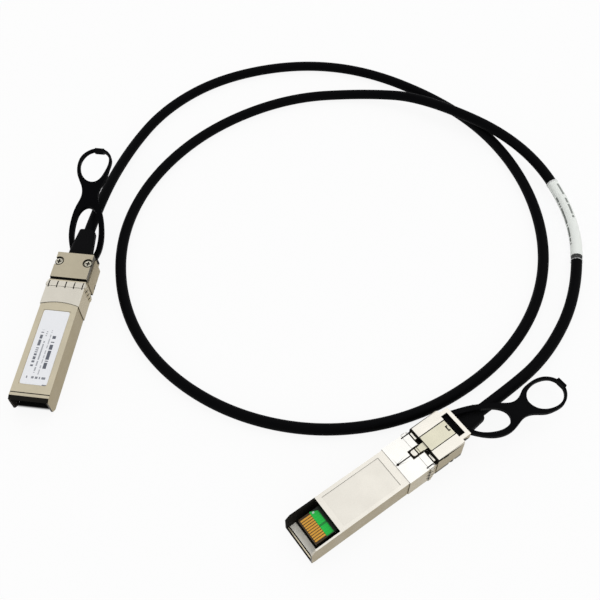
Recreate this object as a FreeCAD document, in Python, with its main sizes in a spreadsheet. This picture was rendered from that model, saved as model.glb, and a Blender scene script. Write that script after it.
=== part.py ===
import FreeCAD, Part
import math
import os
import re

import Sketcher
from FreeCAD import Placement, Rotation, Vector

# Direct attach copper cable: two pluggable plugs joined for good by one round black cable.
# Lengths are in millimetres and angles in degrees.
# Each plug is built in its own frame: x = 0 at the nose and grows to the rear, y is across,
# z = 0 is the label face and z = body_height is the latch face.

SIZES = {
    # Front of the housing, the part that goes into the cage
    "body_width": 13.4,
    "body_height": 8.5,
    "plate_wall": 0.95,
    "side_wall": 1.0,
    "opening_length": 10.8,
    "opening_wall": 0.6,
    "nose_bevel": 1.6,
    "lip_bevel": 1.4,
    "lip_bevel_height": 0.55,
    "lip_edge": 0.45,
    "lip_edge_height": 0.3,
    "floor_groove_place": 0.8,
    "floor_groove_width": 0.4,
    "floor_groove_depth": 0.3,
    "nose_groove_place": 2.4,
    "nose_groove_width": 0.35,
    "nose_groove_depth": 0.2,
    "panel_start": 12.6,
    "panel_end": 34.2,
    "panel_inset": 1.2,
    "panel_depth": 0.12,
    # Rear box, outside the cage
    "box_start": 48.0,
    "box_end": 59.0,
    "box_side_rise": 0.2,
    "box_rise": 1.2,
    "box_bevel": 0.4,
    "box_front_wall": 1.3,
    "box_rear_wall": 1.7,
    "box_side_wall": 1.2,
    "cover_inset": 0.3,
    "cover_rise": 0.4,
    "cover_split": 2.2,
    "cover_overhang": 0.3,
    "cover_wall": 1.2,
    "step_groove_width": 0.9,
    "step_groove_depth": 0.55,
    "latch_groove_width": 1.1,
    "latch_groove_depth": 0.6,
    "core_room_drop": 2.1,
    "screw_boss": 1.0,
    "side_notch_start": 50.2,
    "side_notch_length": 2.0,
    "side_notch_height": 0.6,
    "side_notch_drop": 0.1,
    "side_notch_depth": 0.5,
    # Rear lip that guides the pull tab
    "lip_end": 62.3,
    "lip_inset": 1.3,
    "lip_drop": 1.95,
    "lip_post": 1.3,
    # Latch
    "latch_boss_start": 43.0,
    "latch_boss_end": 44.9,
    "latch_boss_width": 2.4,
    "latch_boss_height": 0.5,
    "stop_rib_place": 47.1,
    "stop_rib_width": 0.6,
    "stop_rib_inner": 3.2,
    "stop_rib_outer": 5.7,
    "stop_rib_height": 0.6,
    "channel_width": 6.0,
    "channel_drop": 1.4,
    "tab_room_start": 58.6,
    "tab_room_inset": 0.7,
    "window_side": 0.6,
    "window_rise": 0.3,
    "slider_travel": 2.0,
    "slider_gap": 0.05,
    "slider_front_gap": 0.55,
    "slider_thick": 0.7,
    "slider_width": 5.4,
    "slider_end": 58.5,
    "tongue_width": 2.3,
    "tongue_thick": 0.4,
    "tang_thick": 0.8,
    "tang_drop": 1.4,
    "spring_tang_place": 48.6,
    "spring_tang_width": 4.8,
    "tab_tang_place": 54.4,
    "tab_tang_width": 2.6,
    "hook_width": 2.0,
    "hook_depth": 1.25,
    "hook_slit": 0.4,
    "spring_stop_place": 52.6,
    "spring_stop_thick": 0.8,
    "spring_radius": 0.55,
    "spring_wire": 0.22,
    "spring_turns": 4,
    "spring_spacing": 2.6,
    # Spring collar round both shells
    "collar_start": 36.8,
    "collar_end": 46.8,
    "collar_thick": 0.2,
    "collar_gap": 0.02,
    "collar_arch": 1.3,
    "collar_bead_start": 44.5,
    "collar_bead_end": 46.2,
    "collar_bead_height": 0.14,
    "collar_side_bead": 0.36,
    "finger_slot_length": 2.9,
    "finger_slot_width": 0.4,
    "finger_pitch_across": 3.05,
    "finger_pitch_down": 2.2,
    "collar_window_width": 2.9,
    "collar_seam": 0.25,
    "collar_hole_radius": 0.45,
    "collar_hole_place": 37.6,
    # Circuit card and what it carries
    "card_start": 3.2,
    "card_end": 47.0,
    "card_edge_inset": 2.1,
    "card_edge_length": 8.3,
    "card_side_gap": 0.2,
    "card_thick": 1.0,
    "card_below_latch_face": 2.25,
    "card_seat_gap": 0.05,
    "card_bevel": 0.25,
    "card_seat_width": 0.7,
    "card_post_length": 2.0,
    "card_post_front": 14.0,
    "card_post_rear": 40.0,
    "contact_start": 3.7,
    "contact_length": 3.4,
    "contact_thick": 0.05,
    "chip_place": 24.0,
    "chip_length": 3.0,
    "chip_width": 4.4,
    "chip_height": 0.9,
    "capacitor_place": 14.5,
    "capacitor_length": 1.0,
    "capacitor_width": 0.5,
    "capacitor_pitch": 1.7,
    # Cable end inside the plug
    "cable_clearance": 4.5,
    "cable_offset": 0.35,
    "bore_gap": 0.05,
    "core_radius": 0.42,
    "core_offset": 0.6,
    "core_spread": 1.4,
    "core_length_on_card": 2.4,
    "core_bare_run": 1.6,
    "core_rise_end": 0.6,
    "core_gap": 0.02,
    "cable_start": 53.6,
    "ferrule_length": 2.0,
    "ferrule_thick": 0.35,
    # Strain relief boot
    "boot_flange_length": 1.2,
    "boot_flange_gap": 0.3,
    "boot_flange_rise": 0.1,
    "boot_neck_inset": 0.6,
    "boot_neck_rise": 0.1,
    "boot_gap": 0.1,
    "boot_overhang": 0.7,
    "boot_wall": 0.6,
    "boot_straight": 3.4,
    "boot_end": 71.5,
    "boot_end_side": 1.0,
    "boot_end_wall": 0.5,
    "boot_round": 1.7,
    # Cover screws
    "screw_place": 55.15,
    "screw_inset": 1.3,
    "screw_head_radius": 1.5,
    "screw_head_height": 0.7,
    "screw_shank_radius": 0.8,
    "screw_length": 4.6,
    "screw_gap": 0.15,
    "screw_recess_radius": 1.85,
    "screw_recess_depth": 0.95,
    "screw_cross_length": 1.7,
    "screw_cross_width": 0.45,
    "screw_cross_depth": 0.4,
    # Pull tab: distances along it start at the rear lip
    "tab_thick": 1.4,
    "tab_drop": 0.6,
    "tab_tongue_width": 5.0,
    "tab_front": 53.75,
    "tab_yoke_start": 58.9,
    "tab_yoke_end": 60.8,
    "tab_yoke_gap": 0.3,
    "tab_hole_gap": 0.12,
    "tab_root_gap": 0.4,
    "tab_loop_width": 13.2,
    "tab_arm_width": 1.95,
    "tab_bridge": 9.2,
    "tab_neck_width": 6.2,
    "tab_eye_length": 14.2,
    "tab_ring_width": 12.2,
    "tab_ring_band": 1.0,
    "tab_bend_radius": 8.0,
    "tab_pad_width": 3.6,
    "tab_pad_length": 1.2,
    "tab_pad_height": 0.8,
    "tab_arm_a": 20.0,
    "tab_level_a": 1.0,
    "tab_bend_a": 31.0,
    "tab_fall_a": 31.0,
    "tab_sway_a": -0.9,
    "tab_arm_b": 14.8,
    "tab_level_b": 15.0,
    "tab_bend_b": 12.0,
    "tab_fall_b": 18.0,
    "tab_sway_b": -8.4,
    # Labels
    "cable_label_length": 36.4,
    "cable_label_gap": 0.01,
    "sleeve_length": 38.4,
    "label_start": 5.8,
    "label_end": 34.5,
    "label_width": 9.2,
    "label_thick": 0.1,
    "label_recess": 0.12,
    "label_gap": 0.2,
    "label_corner": 0.8,
    "wrap_thick": 0.12,
    "sleeve_thick": 0.15,
    "first_run": 29.0,
    "last_run": 27.0,
    # Where the plugs lie: the nose's middle and the turn about +Z
    "plug_a_x": -84.47,
    "plug_a_y": -24.8,
    "plug_a_turn": 81.76,
    "plug_b_x": 2.35,
    "plug_b_y": -71.39,
    "plug_b_turn": 35.0,
}

# Corners of the cable's middle line between the two plugs, as x, y and height above the floor.
# The cable bends through them from plug a, once round, over itself and on to plug b.
ROUTE = [
    (-65.0, 91.4, 2.0), (-51.3, 117.1, 2.0), (-28.0, 135.8, 2.0), (4.3, 143.9, 2.0),
    (34.8, 138.8, 2.0), (63.9, 120.1, 2.0), (83.8, 97.2, 2.0), (94.8, 67.9, 2.0),
    (96.0, 36.9, 2.0), (86.8, 8.8, 2.0), (68.0, -14.2, 2.0), (40.6, -30.9, 2.0),
    (9.5, -35.5, 2.0), (-20.8, -27.6, 2.0), (-45.7, -8.7, 2.0), (-60.0, 17.7, 2.0),
    (-63.1, 49.6, 2.0), (-52.8, 80.0, 2.0), (-30.5, 105.8, 2.0), (1.3, 122.4, 2.0),
    (33.8, 124.1, 2.0), (58.2, 116.0, 10.4), (94.6, 89.6, 10.4), (109.8, 53.2, 2.3),
    (103.5, 17.7, 2.3), (88.5, -7.8, 2.0),
]

# Measures that follow from the sizes, as expressions
BOX_WIDTH = "(body_width + 2 * box_side_rise)"
COVER_WIDTH = f"({BOX_WIDTH} - 2 * cover_inset)"
LIP_WIDTH = f"({BOX_WIDTH} - 2 * lip_inset)"
WINDOW_WIDTH = f"({LIP_WIDTH} - 2 * window_side)"
TAB_ROOM_WIDTH = f"({WINDOW_WIDTH} - 2 * tab_room_inset)"
SCREW_SPACING = f"({COVER_WIDTH} - 2 * screw_inset)"
BOSS_ROOM = f"({SCREW_SPACING} / 2 - screw_boss)"
BOX_TOP = "(body_height + box_rise)"
CHANNEL_FLOOR = "(body_height - channel_drop)"
LIP_FLOOR = "(body_height - lip_drop)"
WINDOW_TOP = "(body_height + window_rise)"
CORE_ROOM_TOP = "(body_height - core_room_drop)"
CABLE_RADIUS = "((body_height - cable_clearance) / 2)"
CABLE_HEIGHT = "(body_height / 2 - cable_offset)"
CARD_TOP = "(body_height - card_below_latch_face)"
CARD_LOW = f"({CARD_TOP} - card_thick)"
CARD_EDGE_WIDTH = "(body_width - 2 * card_edge_inset)"
CARD_WIDTH = "(body_width - 2 * side_wall - 2 * card_side_gap)"
CONTACT_PITCH = f"({CARD_EDGE_WIDTH} / 11.5)"
FLANGE_WIDTH = f"(2 * {BOSS_ROOM} - 2 * boot_flange_gap)"
NECK_WIDTH = f"({FLANGE_WIDTH} - 2 * boot_neck_inset)"
BOOT_WIDTH = f"({NECK_WIDTH} + 2 * boot_overhang)"
NECK_HEIGHT = f"(2 * {CABLE_RADIUS} + 2 * boot_neck_rise)"
FLANGE_HEIGHT = f"({NECK_HEIGHT} + 2 * boot_flange_rise)"
BOOT_HEIGHT = f"(2 * {CABLE_RADIUS} + 2 * boot_wall)"
BOOT_END_WIDTH = f"(2 * {CABLE_RADIUS} + 2 * boot_end_side)"
BOOT_END_HEIGHT = f"(2 * {CABLE_RADIUS} + 2 * boot_end_wall)"
YOKE_WIDTH = f"({TAB_ROOM_WIDTH} - 2 * tab_yoke_gap)"
TAB_ROOT_WIDTH = f"({WINDOW_WIDTH} - 2 * tab_root_gap)"

doc = FreeCAD.newDocument("DirectAttachCable")
sheet = doc.addObject("Spreadsheet::Sheet", "Sizes")
for row, (alias, amount) in enumerate(SIZES.items(), start=1):
    sheet.set(f"A{row}", alias)
    sheet.set(f"B{row}", str(amount))
    sheet.setAlias(f"B{row}", alias)
doc.recompute()

sub_parts = []


def bound(text):
    """Writes the sheet's name before each alias in an expression."""
    return re.sub(r"[a-z_]+", lambda word: "Sizes." + word.group(0), text)


def number(text):
    return float(sheet.evalExpression(bound(text)))


def add_body(label, placement):
    body = doc.addObject("PartDesign::Body", "Body_" + label)
    body.Label = label
    body.Placement = placement
    sub_parts.append(body)
    return body


def add_sketch(body, role, offset="0"):
    sketch = body.newObject("Sketcher::SketchObject", "Sketch")
    plane = [item for item in body.Origin.OriginFeatures if item.Role == role][0]
    sketch.AttachmentSupport = [(plane, "")]
    sketch.MapMode = "FlatFace"
    if offset != "0":
        sketch.setExpression(".AttachmentOffset.Base.z", bound(offset))
    return sketch


def fix(sketch, kind, geometry, point, text):
    """Ties one coordinate of a point, or a radius, to an expression."""
    if kind == "Radius":
        constraint = Sketcher.Constraint(kind, geometry, number(text))
    else:
        constraint = Sketcher.Constraint(kind, -1, 1, geometry, point, number(text))
    index = sketch.addConstraint(constraint)
    name = f"{kind}{index}"
    sketch.renameConstraint(index, name)
    sketch.setExpression("Constraints." + name, bound(text))


def rectangle(sketch, x_low, x_high, y_low, y_high):
    left, right, low, high = [number(text) for text in (x_low, x_high, y_low, y_high)]
    corners = [Vector(left, low), Vector(right, low), Vector(right, high), Vector(left, high)]
    first = sketch.GeometryCount
    for side in range(4):
        sketch.addGeometry(Part.LineSegment(corners[side], corners[(side + 1) % 4]))
    for side in range(4):
        following = first + (side + 1) % 4
        sketch.addConstraint(Sketcher.Constraint("Coincident", first + side, 2, following, 1))
    for side in (0, 2):
        sketch.addConstraint(Sketcher.Constraint("Horizontal", first + side))
        sketch.addConstraint(Sketcher.Constraint("Vertical", first + side + 1))
    fix(sketch, "DistanceX", first, 1, x_low)
    fix(sketch, "DistanceX", first + 2, 1, x_high)
    fix(sketch, "DistanceY", first, 1, y_low)
    fix(sketch, "DistanceY", first + 2, 1, y_high)


def circle(sketch, x, y, radius):
    centre = Vector(number(x), number(y))
    index = sketch.addGeometry(Part.Circle(centre, Vector(0, 0, 1), number(radius)))
    fix(sketch, "DistanceX", index, 3, x)
    fix(sketch, "DistanceY", index, 3, y)
    fix(sketch, "Radius", index, 0, radius)


def outline(sketch, points):
    """Straight sides through points already worked out from the sheet."""
    for start, end in zip(points, points[1:] + points[:1]):
        sketch.addGeometry(Part.LineSegment(start, end))


def pad(body, sketch, length, both_ways=False):
    feature = body.newObject("PartDesign::Pad", "Pad")
    feature.Profile = sketch
    feature.Midplane = both_ways
    feature.setExpression("Length", bound(length))
    return feature


def pocket(body, sketch, length, both_ways=False):
    feature = body.newObject("PartDesign::Pocket", "Pocket")
    feature.Profile = sketch
    feature.Midplane = both_ways
    feature.setExpression("Length", bound(length))
    return feature


def block(body, rectangles, z_low, z_high):
    """Adds upright blocks from z_low to z_high."""
    sketch = add_sketch(body, "XY_Plane", z_low)
    for limits in rectangles:
        rectangle(sketch, *limits)
    return pad(body, sketch, f"({z_high}) - ({z_low})")


def cut(body, rectangles, z_low, z_high):
    """Cuts upright pockets from z_high down to z_low."""
    sketch = add_sketch(body, "XY_Plane", z_high)
    for limits in rectangles:
        rectangle(sketch, *limits)
    return pocket(body, sketch, f"({z_high}) - ({z_low})")


def across(width):
    """The two y limits of something centred on the plug."""
    return f"-({width}) / 2", f"({width}) / 2"


def both_sides(inner, outer):
    """The y limits of a pair, one on each side of the plug."""
    return (f"-({outer})", f"-({inner})"), (inner, outer)


def edges_at(shape, chosen):
    """Names of the straight edges whose two ends both pass the test."""
    names = []
    for index, edge in enumerate(shape.Edges, start=1):
        ends = [vertex.Point for vertex in edge.Vertexes]
        if len(ends) == 2 and all(chosen(point) for point in ends):
            names.append(f"Edge{index}")
    return names


def dress(body, kind, size, chosen):
    """A Chamfer or a Fillet on the edges that pass the test."""
    doc.recompute()
    base = body.Tip
    names = edges_at(base.Shape, chosen)
    feature = body.newObject("PartDesign::" + kind, kind)
    feature.Base = (base, names)
    feature.setExpression("Size" if kind == "Chamfer" else "Radius", bound(size))
    return feature


def near(value, text):
    return abs(value - number(text)) < 0.001


def lower_shell(suffix, placement):
    """Latch-side casting: card opening, latch boss, rear box with the slider's channel, lip."""
    body = add_body("lower_shell_" + suffix, placement)
    block(body, [("0", "box_start", *across("body_width"))], "plate_wall", "body_height")
    block(body, [("box_start", "box_end", *across(BOX_WIDTH))], "cover_split", BOX_TOP)
    block(body, [("box_end", "lip_end", *across(LIP_WIDTH))], LIP_FLOOR, BOX_TOP)
    side = f"{BOX_WIDTH} / 2"
    for chosen in (
        lambda p: near(abs(p.y), side) and near(p.z, BOX_TOP),
        lambda p: near(abs(p.y), side) and near(p.x, "box_end"),
    ):
        dress(body, "Chamfer", "box_bevel", chosen)
    inner = "body_width / 2 - side_wall"
    room = "box_start + box_front_wall"
    cut(body, [("0", room, f"-({inner})", inner)], "plate_wall", "body_height - plate_wall")
    thin = "body_width / 2 - opening_wall"
    cut(body, [("0", "opening_length", f"-({thin})", thin)], "plate_wall", "body_height")
    wide = f"{side} - box_side_wall"
    boss = "screw_place - screw_recess_radius"
    rear = "box_end - box_rear_wall"
    cut(body, [(room, boss, f"-({wide})", wide)], "cover_split", CORE_ROOM_TOP)
    cut(body, [(boss, rear, f"-{BOSS_ROOM}", BOSS_ROOM)], "cover_split", CORE_ROOM_TOP)
    neck_top = f"{CABLE_HEIGHT} + {NECK_HEIGHT} / 2 + boot_gap"
    cut(body, [(rear, "box_end", *across(f"{NECK_WIDTH} + 2 * boot_gap"))], "cover_split", neck_top)
    post_start = "lip_end - lip_post"
    cut(body, [("box_start", "tab_room_start", *across("channel_width"))], CHANNEL_FLOOR, BOX_TOP)
    cut(body, [("tab_room_start", post_start, *across(TAB_ROOM_WIDTH))], CHANNEL_FLOOR, BOX_TOP)
    cut(body, [(post_start, "lip_end", *across(WINDOW_WIDTH))], CHANNEL_FLOOR, WINDOW_TOP)
    stop_end = "spring_stop_place + spring_stop_thick"
    stop_top = "body_height + tongue_thick - slider_gap"
    block(body, [("spring_stop_place", stop_end, *across("channel_width"))], CHANNEL_FLOOR, stop_top)
    latch_boss(body)
    groove_floor = "body_height - latch_groove_depth"
    groove = ("box_start - latch_groove_width", "box_start", *across("body_width"))
    cut(body, [groove], groove_floor, "body_height")
    rib_end = "stop_rib_place + stop_rib_width"
    ribs = [("stop_rib_place", rib_end, *pair) for pair in both_sides("stop_rib_inner", "stop_rib_outer")]
    block(body, ribs, groove_floor, "body_height + stop_rib_height")
    panel = ("panel_start", "panel_end", *across("body_width - 2 * panel_inset"))
    cut(body, [panel], "body_height - panel_depth", "body_height")
    bevel(body, "body_height", "body_height - nose_bevel", "nose_bevel")
    notch_end = "side_notch_start + side_notch_length"
    sides = both_sides(f"{side} - side_notch_depth", side)
    notches = [("side_notch_start", notch_end, *pair) for pair in sides]
    notch_top = f"{BOX_TOP} - box_bevel - side_notch_drop"
    cut(body, notches, f"{notch_top} - side_notch_height", notch_top)
    seat_pairs = both_sides(f"{CARD_WIDTH} / 2 - card_seat_width", inner)
    seats = [("card_post_front", "card_post_rear", *pair) for pair in seat_pairs]
    block(body, seats, f"{CARD_TOP} + card_seat_gap", "body_height - plate_wall")
    holes = add_sketch(body, "XY_Plane", "cover_split + screw_length")
    for turn in ("-", ""):
        circle(holes, "screw_place", f"{turn}{SCREW_SPACING} / 2", "screw_shank_radius + bore_gap")
    pocket(body, holes, "screw_length")
    return body


def latch_boss(body):
    """The boss that the cage's latch drops over: a square shoulder behind and a round front."""
    sketch = add_sketch(body, "XY_Plane", "body_height")
    half = number("latch_boss_width / 2")
    front = number("latch_boss_start")
    rear = number("latch_boss_end")
    left = Vector(front + half, half)
    right = Vector(front + half, -half)
    sketch.addGeometry(Part.LineSegment(Vector(rear, -half), Vector(rear, half)))
    sketch.addGeometry(Part.LineSegment(Vector(rear, half), left))
    sketch.addGeometry(Part.Arc(left, Vector(front, 0), right))
    sketch.addGeometry(Part.LineSegment(right, Vector(rear, -half)))
    pad(body, sketch, "latch_boss_height")


def bevel(body, z, z_front, back):
    """Slopes the front of the nose: from x = 0 at z_front to x = back at z."""
    sketch = add_sketch(body, "XZ_Plane")
    corner = Vector(0, number(z))
    outline(sketch, [corner, Vector(number(back), number(z)), Vector(0, number(z_front))])
    pocket(body, sketch, "2 * body_width", both_ways=True)


def upper_shell(suffix, placement):
    """Label-side casting: flat front, raised screwed cover behind the step groove."""
    body = add_body("upper_shell_" + suffix, placement)
    room = "box_start + box_front_wall"
    rear = "box_end - box_rear_wall"
    boss = "screw_place - screw_recess_radius"
    block(body, [("0", room, *across("body_width"))], "0", "plate_wall")
    cover_start = "box_start + cover_overhang"
    block(body, [(cover_start, "box_end", *across(COVER_WIDTH))], "-cover_rise", "cover_split")
    floor = "cover_wall - cover_rise"
    wide = f"{BOX_WIDTH} / 2 - box_side_wall"
    cut(body, [(room, boss, f"-({wide})", wide)], floor, "cover_split")
    cut(body, [(boss, rear, f"-{BOSS_ROOM}", BOSS_ROOM)], floor, "cover_split")
    neck_low = f"{CABLE_HEIGHT} - {NECK_HEIGHT} / 2 - boot_gap"
    cut(body, [(rear, "box_end", *across(f"{NECK_WIDTH} + 2 * boot_gap"))], neck_low, "cover_split")
    groove_start = f"{cover_start} - step_groove_width"
    cut(body, [(groove_start, cover_start, *across("body_width"))], "0", "step_groove_depth")
    nose_groove_end = "nose_groove_place + nose_groove_width"
    cut(body, [("nose_groove_place", nose_groove_end, *across("body_width"))], "0", "nose_groove_depth")
    floor_groove = ("floor_groove_place", "floor_groove_place + floor_groove_width",
                    *across("body_width - 2 * opening_wall"))
    cut(body, [floor_groove], "plate_wall - floor_groove_depth", "plate_wall")
    recess = ("label_start - label_gap", "label_end + label_gap", *across("label_width + 2 * label_gap"))
    cut(body, [recess], "0", "label_recess")
    bevel(body, "0", "lip_bevel_height", "lip_bevel")
    bevel(body, "plate_wall", "plate_wall - lip_edge_height", "lip_edge")
    wells = add_sketch(body, "XY_Plane", "screw_recess_depth - cover_rise")
    holes = add_sketch(body, "XY_Plane", "cover_split")
    for side in ("-", ""):
        circle(wells, "screw_place", f"{side}{SCREW_SPACING} / 2", "screw_recess_radius")
        circle(holes, "screw_place", f"{side}{SCREW_SPACING} / 2", "screw_shank_radius + bore_gap")
    pocket(body, wells, "screw_recess_depth")
    pocket(body, holes, "cover_split + cover_rise - screw_recess_depth")
    posts = []
    for place in ("card_post_front", "card_post_rear - card_post_length"):
        for pair in both_sides(f"{CARD_WIDTH} / 2 - card_seat_width", f"{CARD_WIDTH} / 2"):
            posts.append((place, f"{place} + card_post_length", *pair))
    block(body, posts, "plate_wall", f"{CARD_LOW} - card_seat_gap")
    return body


def ring(body, start, length, side, level, inside):
    """A square tube round the housing: side, level and inside are its offsets from the housing."""
    sketch = add_sketch(body, "YZ_Plane", start)
    for wide, high in ((side, level), (inside, inside)):
        rectangle(sketch, *across(f"body_width + 2 * ({wide})"), f"-({high})", f"body_height + {high}")
    pad(body, sketch, length)


def emi_collar(suffix, placement):
    """Spring band round both shells, slotted into fingers at its rear edge."""
    body = add_body("emi_collar_" + suffix, placement)
    skin = "collar_gap + collar_thick"
    side_bead = f"{skin} + collar_side_bead"
    ring(body, "collar_start", "collar_end - collar_start", skin, skin, "collar_gap")
    bead_length = "collar_bead_end - collar_bead_start"
    ring(body, "collar_bead_start", bead_length, skin, f"{skin} + collar_bead_height", "collar_gap")
    front, rear, inset = number("collar_bead_start"), number("collar_bead_end"), number("collar_side_bead")
    base, outer = number(f"body_width / 2 + {skin}"), number(f"body_width / 2 + {side_bead}")
    beads = add_sketch(body, "XY_Plane")
    for side in (-1, 1):
        outline(beads, [Vector(front, side * base), Vector(front + inset, side * outer),
                        Vector(rear - inset, side * outer), Vector(rear, side * base)])
    pad(body, beads, "body_height")
    arch = add_sketch(body, "XY_Plane", "plate_wall / 2")
    start = number("collar_start")
    side = outer
    crown = Vector(start + number("collar_arch"), 0)
    arch.addGeometry(Part.Arc(Vector(start, -side), crown, Vector(start, side)))
    arch.addGeometry(Part.LineSegment(Vector(start, side), Vector(start, -side)))
    pocket(body, arch, "body_height / 2")
    slot_start = "collar_end - finger_slot_length"
    half_slot = "finger_slot_width / 2"
    label_slots = []
    for step in (-2, -1, 0, 1, 2):
        centre = f"{step} * finger_pitch_across"
        label_slots.append((slot_start, "collar_end", f"{centre} - {half_slot}", f"{centre} + {half_slot}"))
    cut(body, label_slots, "-plate_wall", "plate_wall / 2")
    latch_slots = [label_slots[0], label_slots[-1]]
    cut(body, latch_slots, "body_height - plate_wall / 2", "body_height + plate_wall")
    side_slots = add_sketch(body, "XZ_Plane")
    for step in (-1, 0, 1):
        centre = f"body_height / 2 + {step} * finger_pitch_down"
        rectangle(side_slots, slot_start, "collar_end", f"{centre} - {half_slot}", f"{centre} + {half_slot}")
    pocket(body, side_slots, "2 * body_width", both_ways=True)
    window_start = "latch_boss_start - (collar_window_width - latch_boss_width) / 2"
    latch_side = ("body_height - plate_wall / 2", "body_height + plate_wall")
    cut(body, [(window_start, "collar_end", *across("collar_window_width"))], *latch_side)
    cut(body, [("collar_start", window_start, *across("collar_seam"))], *latch_side)
    hole = add_sketch(body, "XY_Plane", "body_height + plate_wall")
    circle(hole, "collar_hole_place", "0", "collar_hole_radius")
    pocket(body, hole, "2 * plate_wall")
    return body


def paddle_card(suffix, placement):
    """Circuit card, narrower at the edge that the host connector takes."""
    body = add_body("paddle_card_" + suffix, placement)
    step = "card_start + card_edge_length"
    block(body, [("card_start", step, *across(CARD_EDGE_WIDTH))], CARD_LOW, CARD_TOP)
    block(body, [(step, "card_end", *across(CARD_WIDTH))], CARD_LOW, CARD_TOP)
    dress(body, "Chamfer", "card_bevel", lambda p: near(p.x, "card_start"))
    return body


def contact_pads(suffix, placement):
    """Gold edge contacts on both faces of the card, each its own solid."""
    body = add_body("contact_pads_" + suffix, placement)
    half = f"{CONTACT_PITCH} * 0.31"
    for bottom in (f"{CARD_LOW} - contact_thick", CARD_TOP):
        strips = []
        for place in range(10):
            centre = f"({place} - 4.5) * {CONTACT_PITCH}"
            limits = (f"{centre} - {half}", f"{centre} + {half}")
            strips.append(("contact_start", "contact_start + contact_length", *limits))
        block(body, strips, bottom, f"{bottom} + contact_thick")
    return body


def memory_chip(suffix, placement):
    """Small eight-lead chip on the card's latch-side face."""
    body = add_body("memory_chip_" + suffix, placement)
    rear = "chip_place + chip_length"
    case = ("chip_place", rear, *across("chip_width"))
    block(body, [case], f"{CARD_TOP} + contact_thick", f"{CARD_TOP} + chip_height")
    leads = []
    for place in range(4):
        centre = f"chip_place + chip_length * (0.5 + {place}) / 4"
        limits = (f"{centre} - chip_length / 26", f"{centre} + chip_length / 26")
        leads.append((*limits, *across("chip_width + chip_length / 2")))
    block(body, leads, CARD_TOP, f"{CARD_TOP} + chip_height / 3")
    return body


def capacitors(suffix, placement):
    """Coupling capacitors in the four signal lines."""
    body = add_body("capacitors_" + suffix, placement)
    parts = []
    for place in range(4):
        centre = f"({place} - 1.5) * capacitor_pitch"
        limits = (f"{centre} - capacitor_width / 2", f"{centre} + capacitor_width / 2")
        parts.append(("capacitor_place", "capacitor_place + capacitor_length", *limits))
    block(body, parts, CARD_TOP, f"{CARD_TOP} + capacitor_width")
    return body


def crimp_ferrule(suffix, placement):
    body = add_body("crimp_ferrule_" + suffix, placement)
    sketch = add_sketch(body, "YZ_Plane", "cable_start")
    circle(sketch, "0", CABLE_HEIGHT, f"{CABLE_RADIUS} + bore_gap + ferrule_thick")
    circle(sketch, "0", CABLE_HEIGHT, f"{CABLE_RADIUS} + bore_gap")
    pad(body, sketch, "ferrule_length")
    return body


def strain_relief_boot(suffix, placement):
    """Moulded boot: a flange and neck held by the shells, then a taper round the cable."""
    body = add_body("strain_relief_boot_" + suffix, placement)

    def section(start, width, height, corner):
        sketch = add_sketch(body, "YZ_Plane", start)
        rounded_rectangle(sketch, number(width), number(height), number(CABLE_HEIGHT), number(corner))
        return sketch

    flange_end = "box_end - box_rear_wall - boot_gap"
    flange_start = f"{flange_end} - boot_flange_length"
    face = "box_end + boot_gap / 2"
    taper_start = f"{face} + boot_straight"
    small = "boot_round / 4"
    pad(body, section(flange_start, FLANGE_WIDTH, FLANGE_HEIGHT, small), "boot_flange_length")
    pad(body, section(flange_end, NECK_WIDTH, NECK_HEIGHT, small), f"{face} - ({flange_end})")
    pad(body, section(face, BOOT_WIDTH, BOOT_HEIGHT, "boot_round"), "boot_straight")
    loft = body.newObject("PartDesign::AdditiveLoft", "Taper")
    loft.Profile = section(taper_start, BOOT_WIDTH, BOOT_HEIGHT, "boot_round")
    loft.Sections = [section("boot_end", BOOT_END_WIDTH, BOOT_END_HEIGHT, "boot_round")]
    doc.recompute()
    bore = add_sketch(body, "YZ_Plane", "boot_end")
    circle(bore, "0", CABLE_HEIGHT, f"{CABLE_RADIUS} + bore_gap")
    pocket(body, bore, "boot_end - cable_start")
    return body


def rounded_rectangle(sketch, width, height, middle, corner):
    """A rectangle with round corners, centred at y = 0 and z = middle."""
    turns = [(1, 1), (-1, 1), (-1, -1), (1, -1)]
    ends = []
    for side, level in turns:
        centre = Vector(side * (width / 2 - corner), middle + level * (height / 2 - corner))
        upright = centre + Vector(side * corner, 0)
        flat = centre + Vector(0, level * corner)
        diagonal = centre + Vector(side * corner, level * corner) * math.sqrt(0.5)
        if side == level:
            ends.append((upright, diagonal, flat))
        else:
            ends.append((flat, diagonal, upright))
    for index, (start, middle_point, end) in enumerate(ends):
        sketch.addGeometry(Part.Arc(start, middle_point, end))
        sketch.addGeometry(Part.LineSegment(end, ends[(index + 1) % 4][0]))


def latch_slider(suffix, placement):
    """Metal plate in the channel: tongue behind the latch boss, two tangs and a rear hook slit."""
    body = add_body("latch_slider_" + suffix, placement)
    under = "body_height + slider_gap + tongue_thick"
    top = f"{under} + slider_thick"
    block(body, [("box_start + slider_front_gap", "slider_end", *across("slider_width"))], under, top)
    tongue = ("latch_boss_end + slider_gap", "spring_tang_place + tang_thick", *across("tongue_width"))
    block(body, [tongue], "body_height + slider_gap", f"{under} + slider_gap")
    spring_tang = ("spring_tang_place", "spring_tang_place + tang_thick", *across("spring_tang_width"))
    tab_tang = ("tab_tang_place", "tab_tang_place + tang_thick", *across("tab_tang_width"))
    block(body, [spring_tang], f"{under} - tang_drop", f"{under} + slider_gap")
    block(body, [tab_tang], f"{under} - tang_drop", f"{under} + slider_gap")
    hook_start = "slider_end - hook_depth"
    slit = [
        (hook_start, f"{hook_start} + hook_slit", *across("hook_width")),
        (f"{hook_start} + hook_slit", "slider_end - hook_slit", "-hook_width / 2", "hook_slit - hook_width / 2"),
        (f"{hook_start} + hook_slit", "slider_end - hook_slit", "hook_width / 2 - hook_slit", "hook_width / 2"),
    ]
    for piece in slit:
        cut(body, [piece], under, top)
    return body


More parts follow.
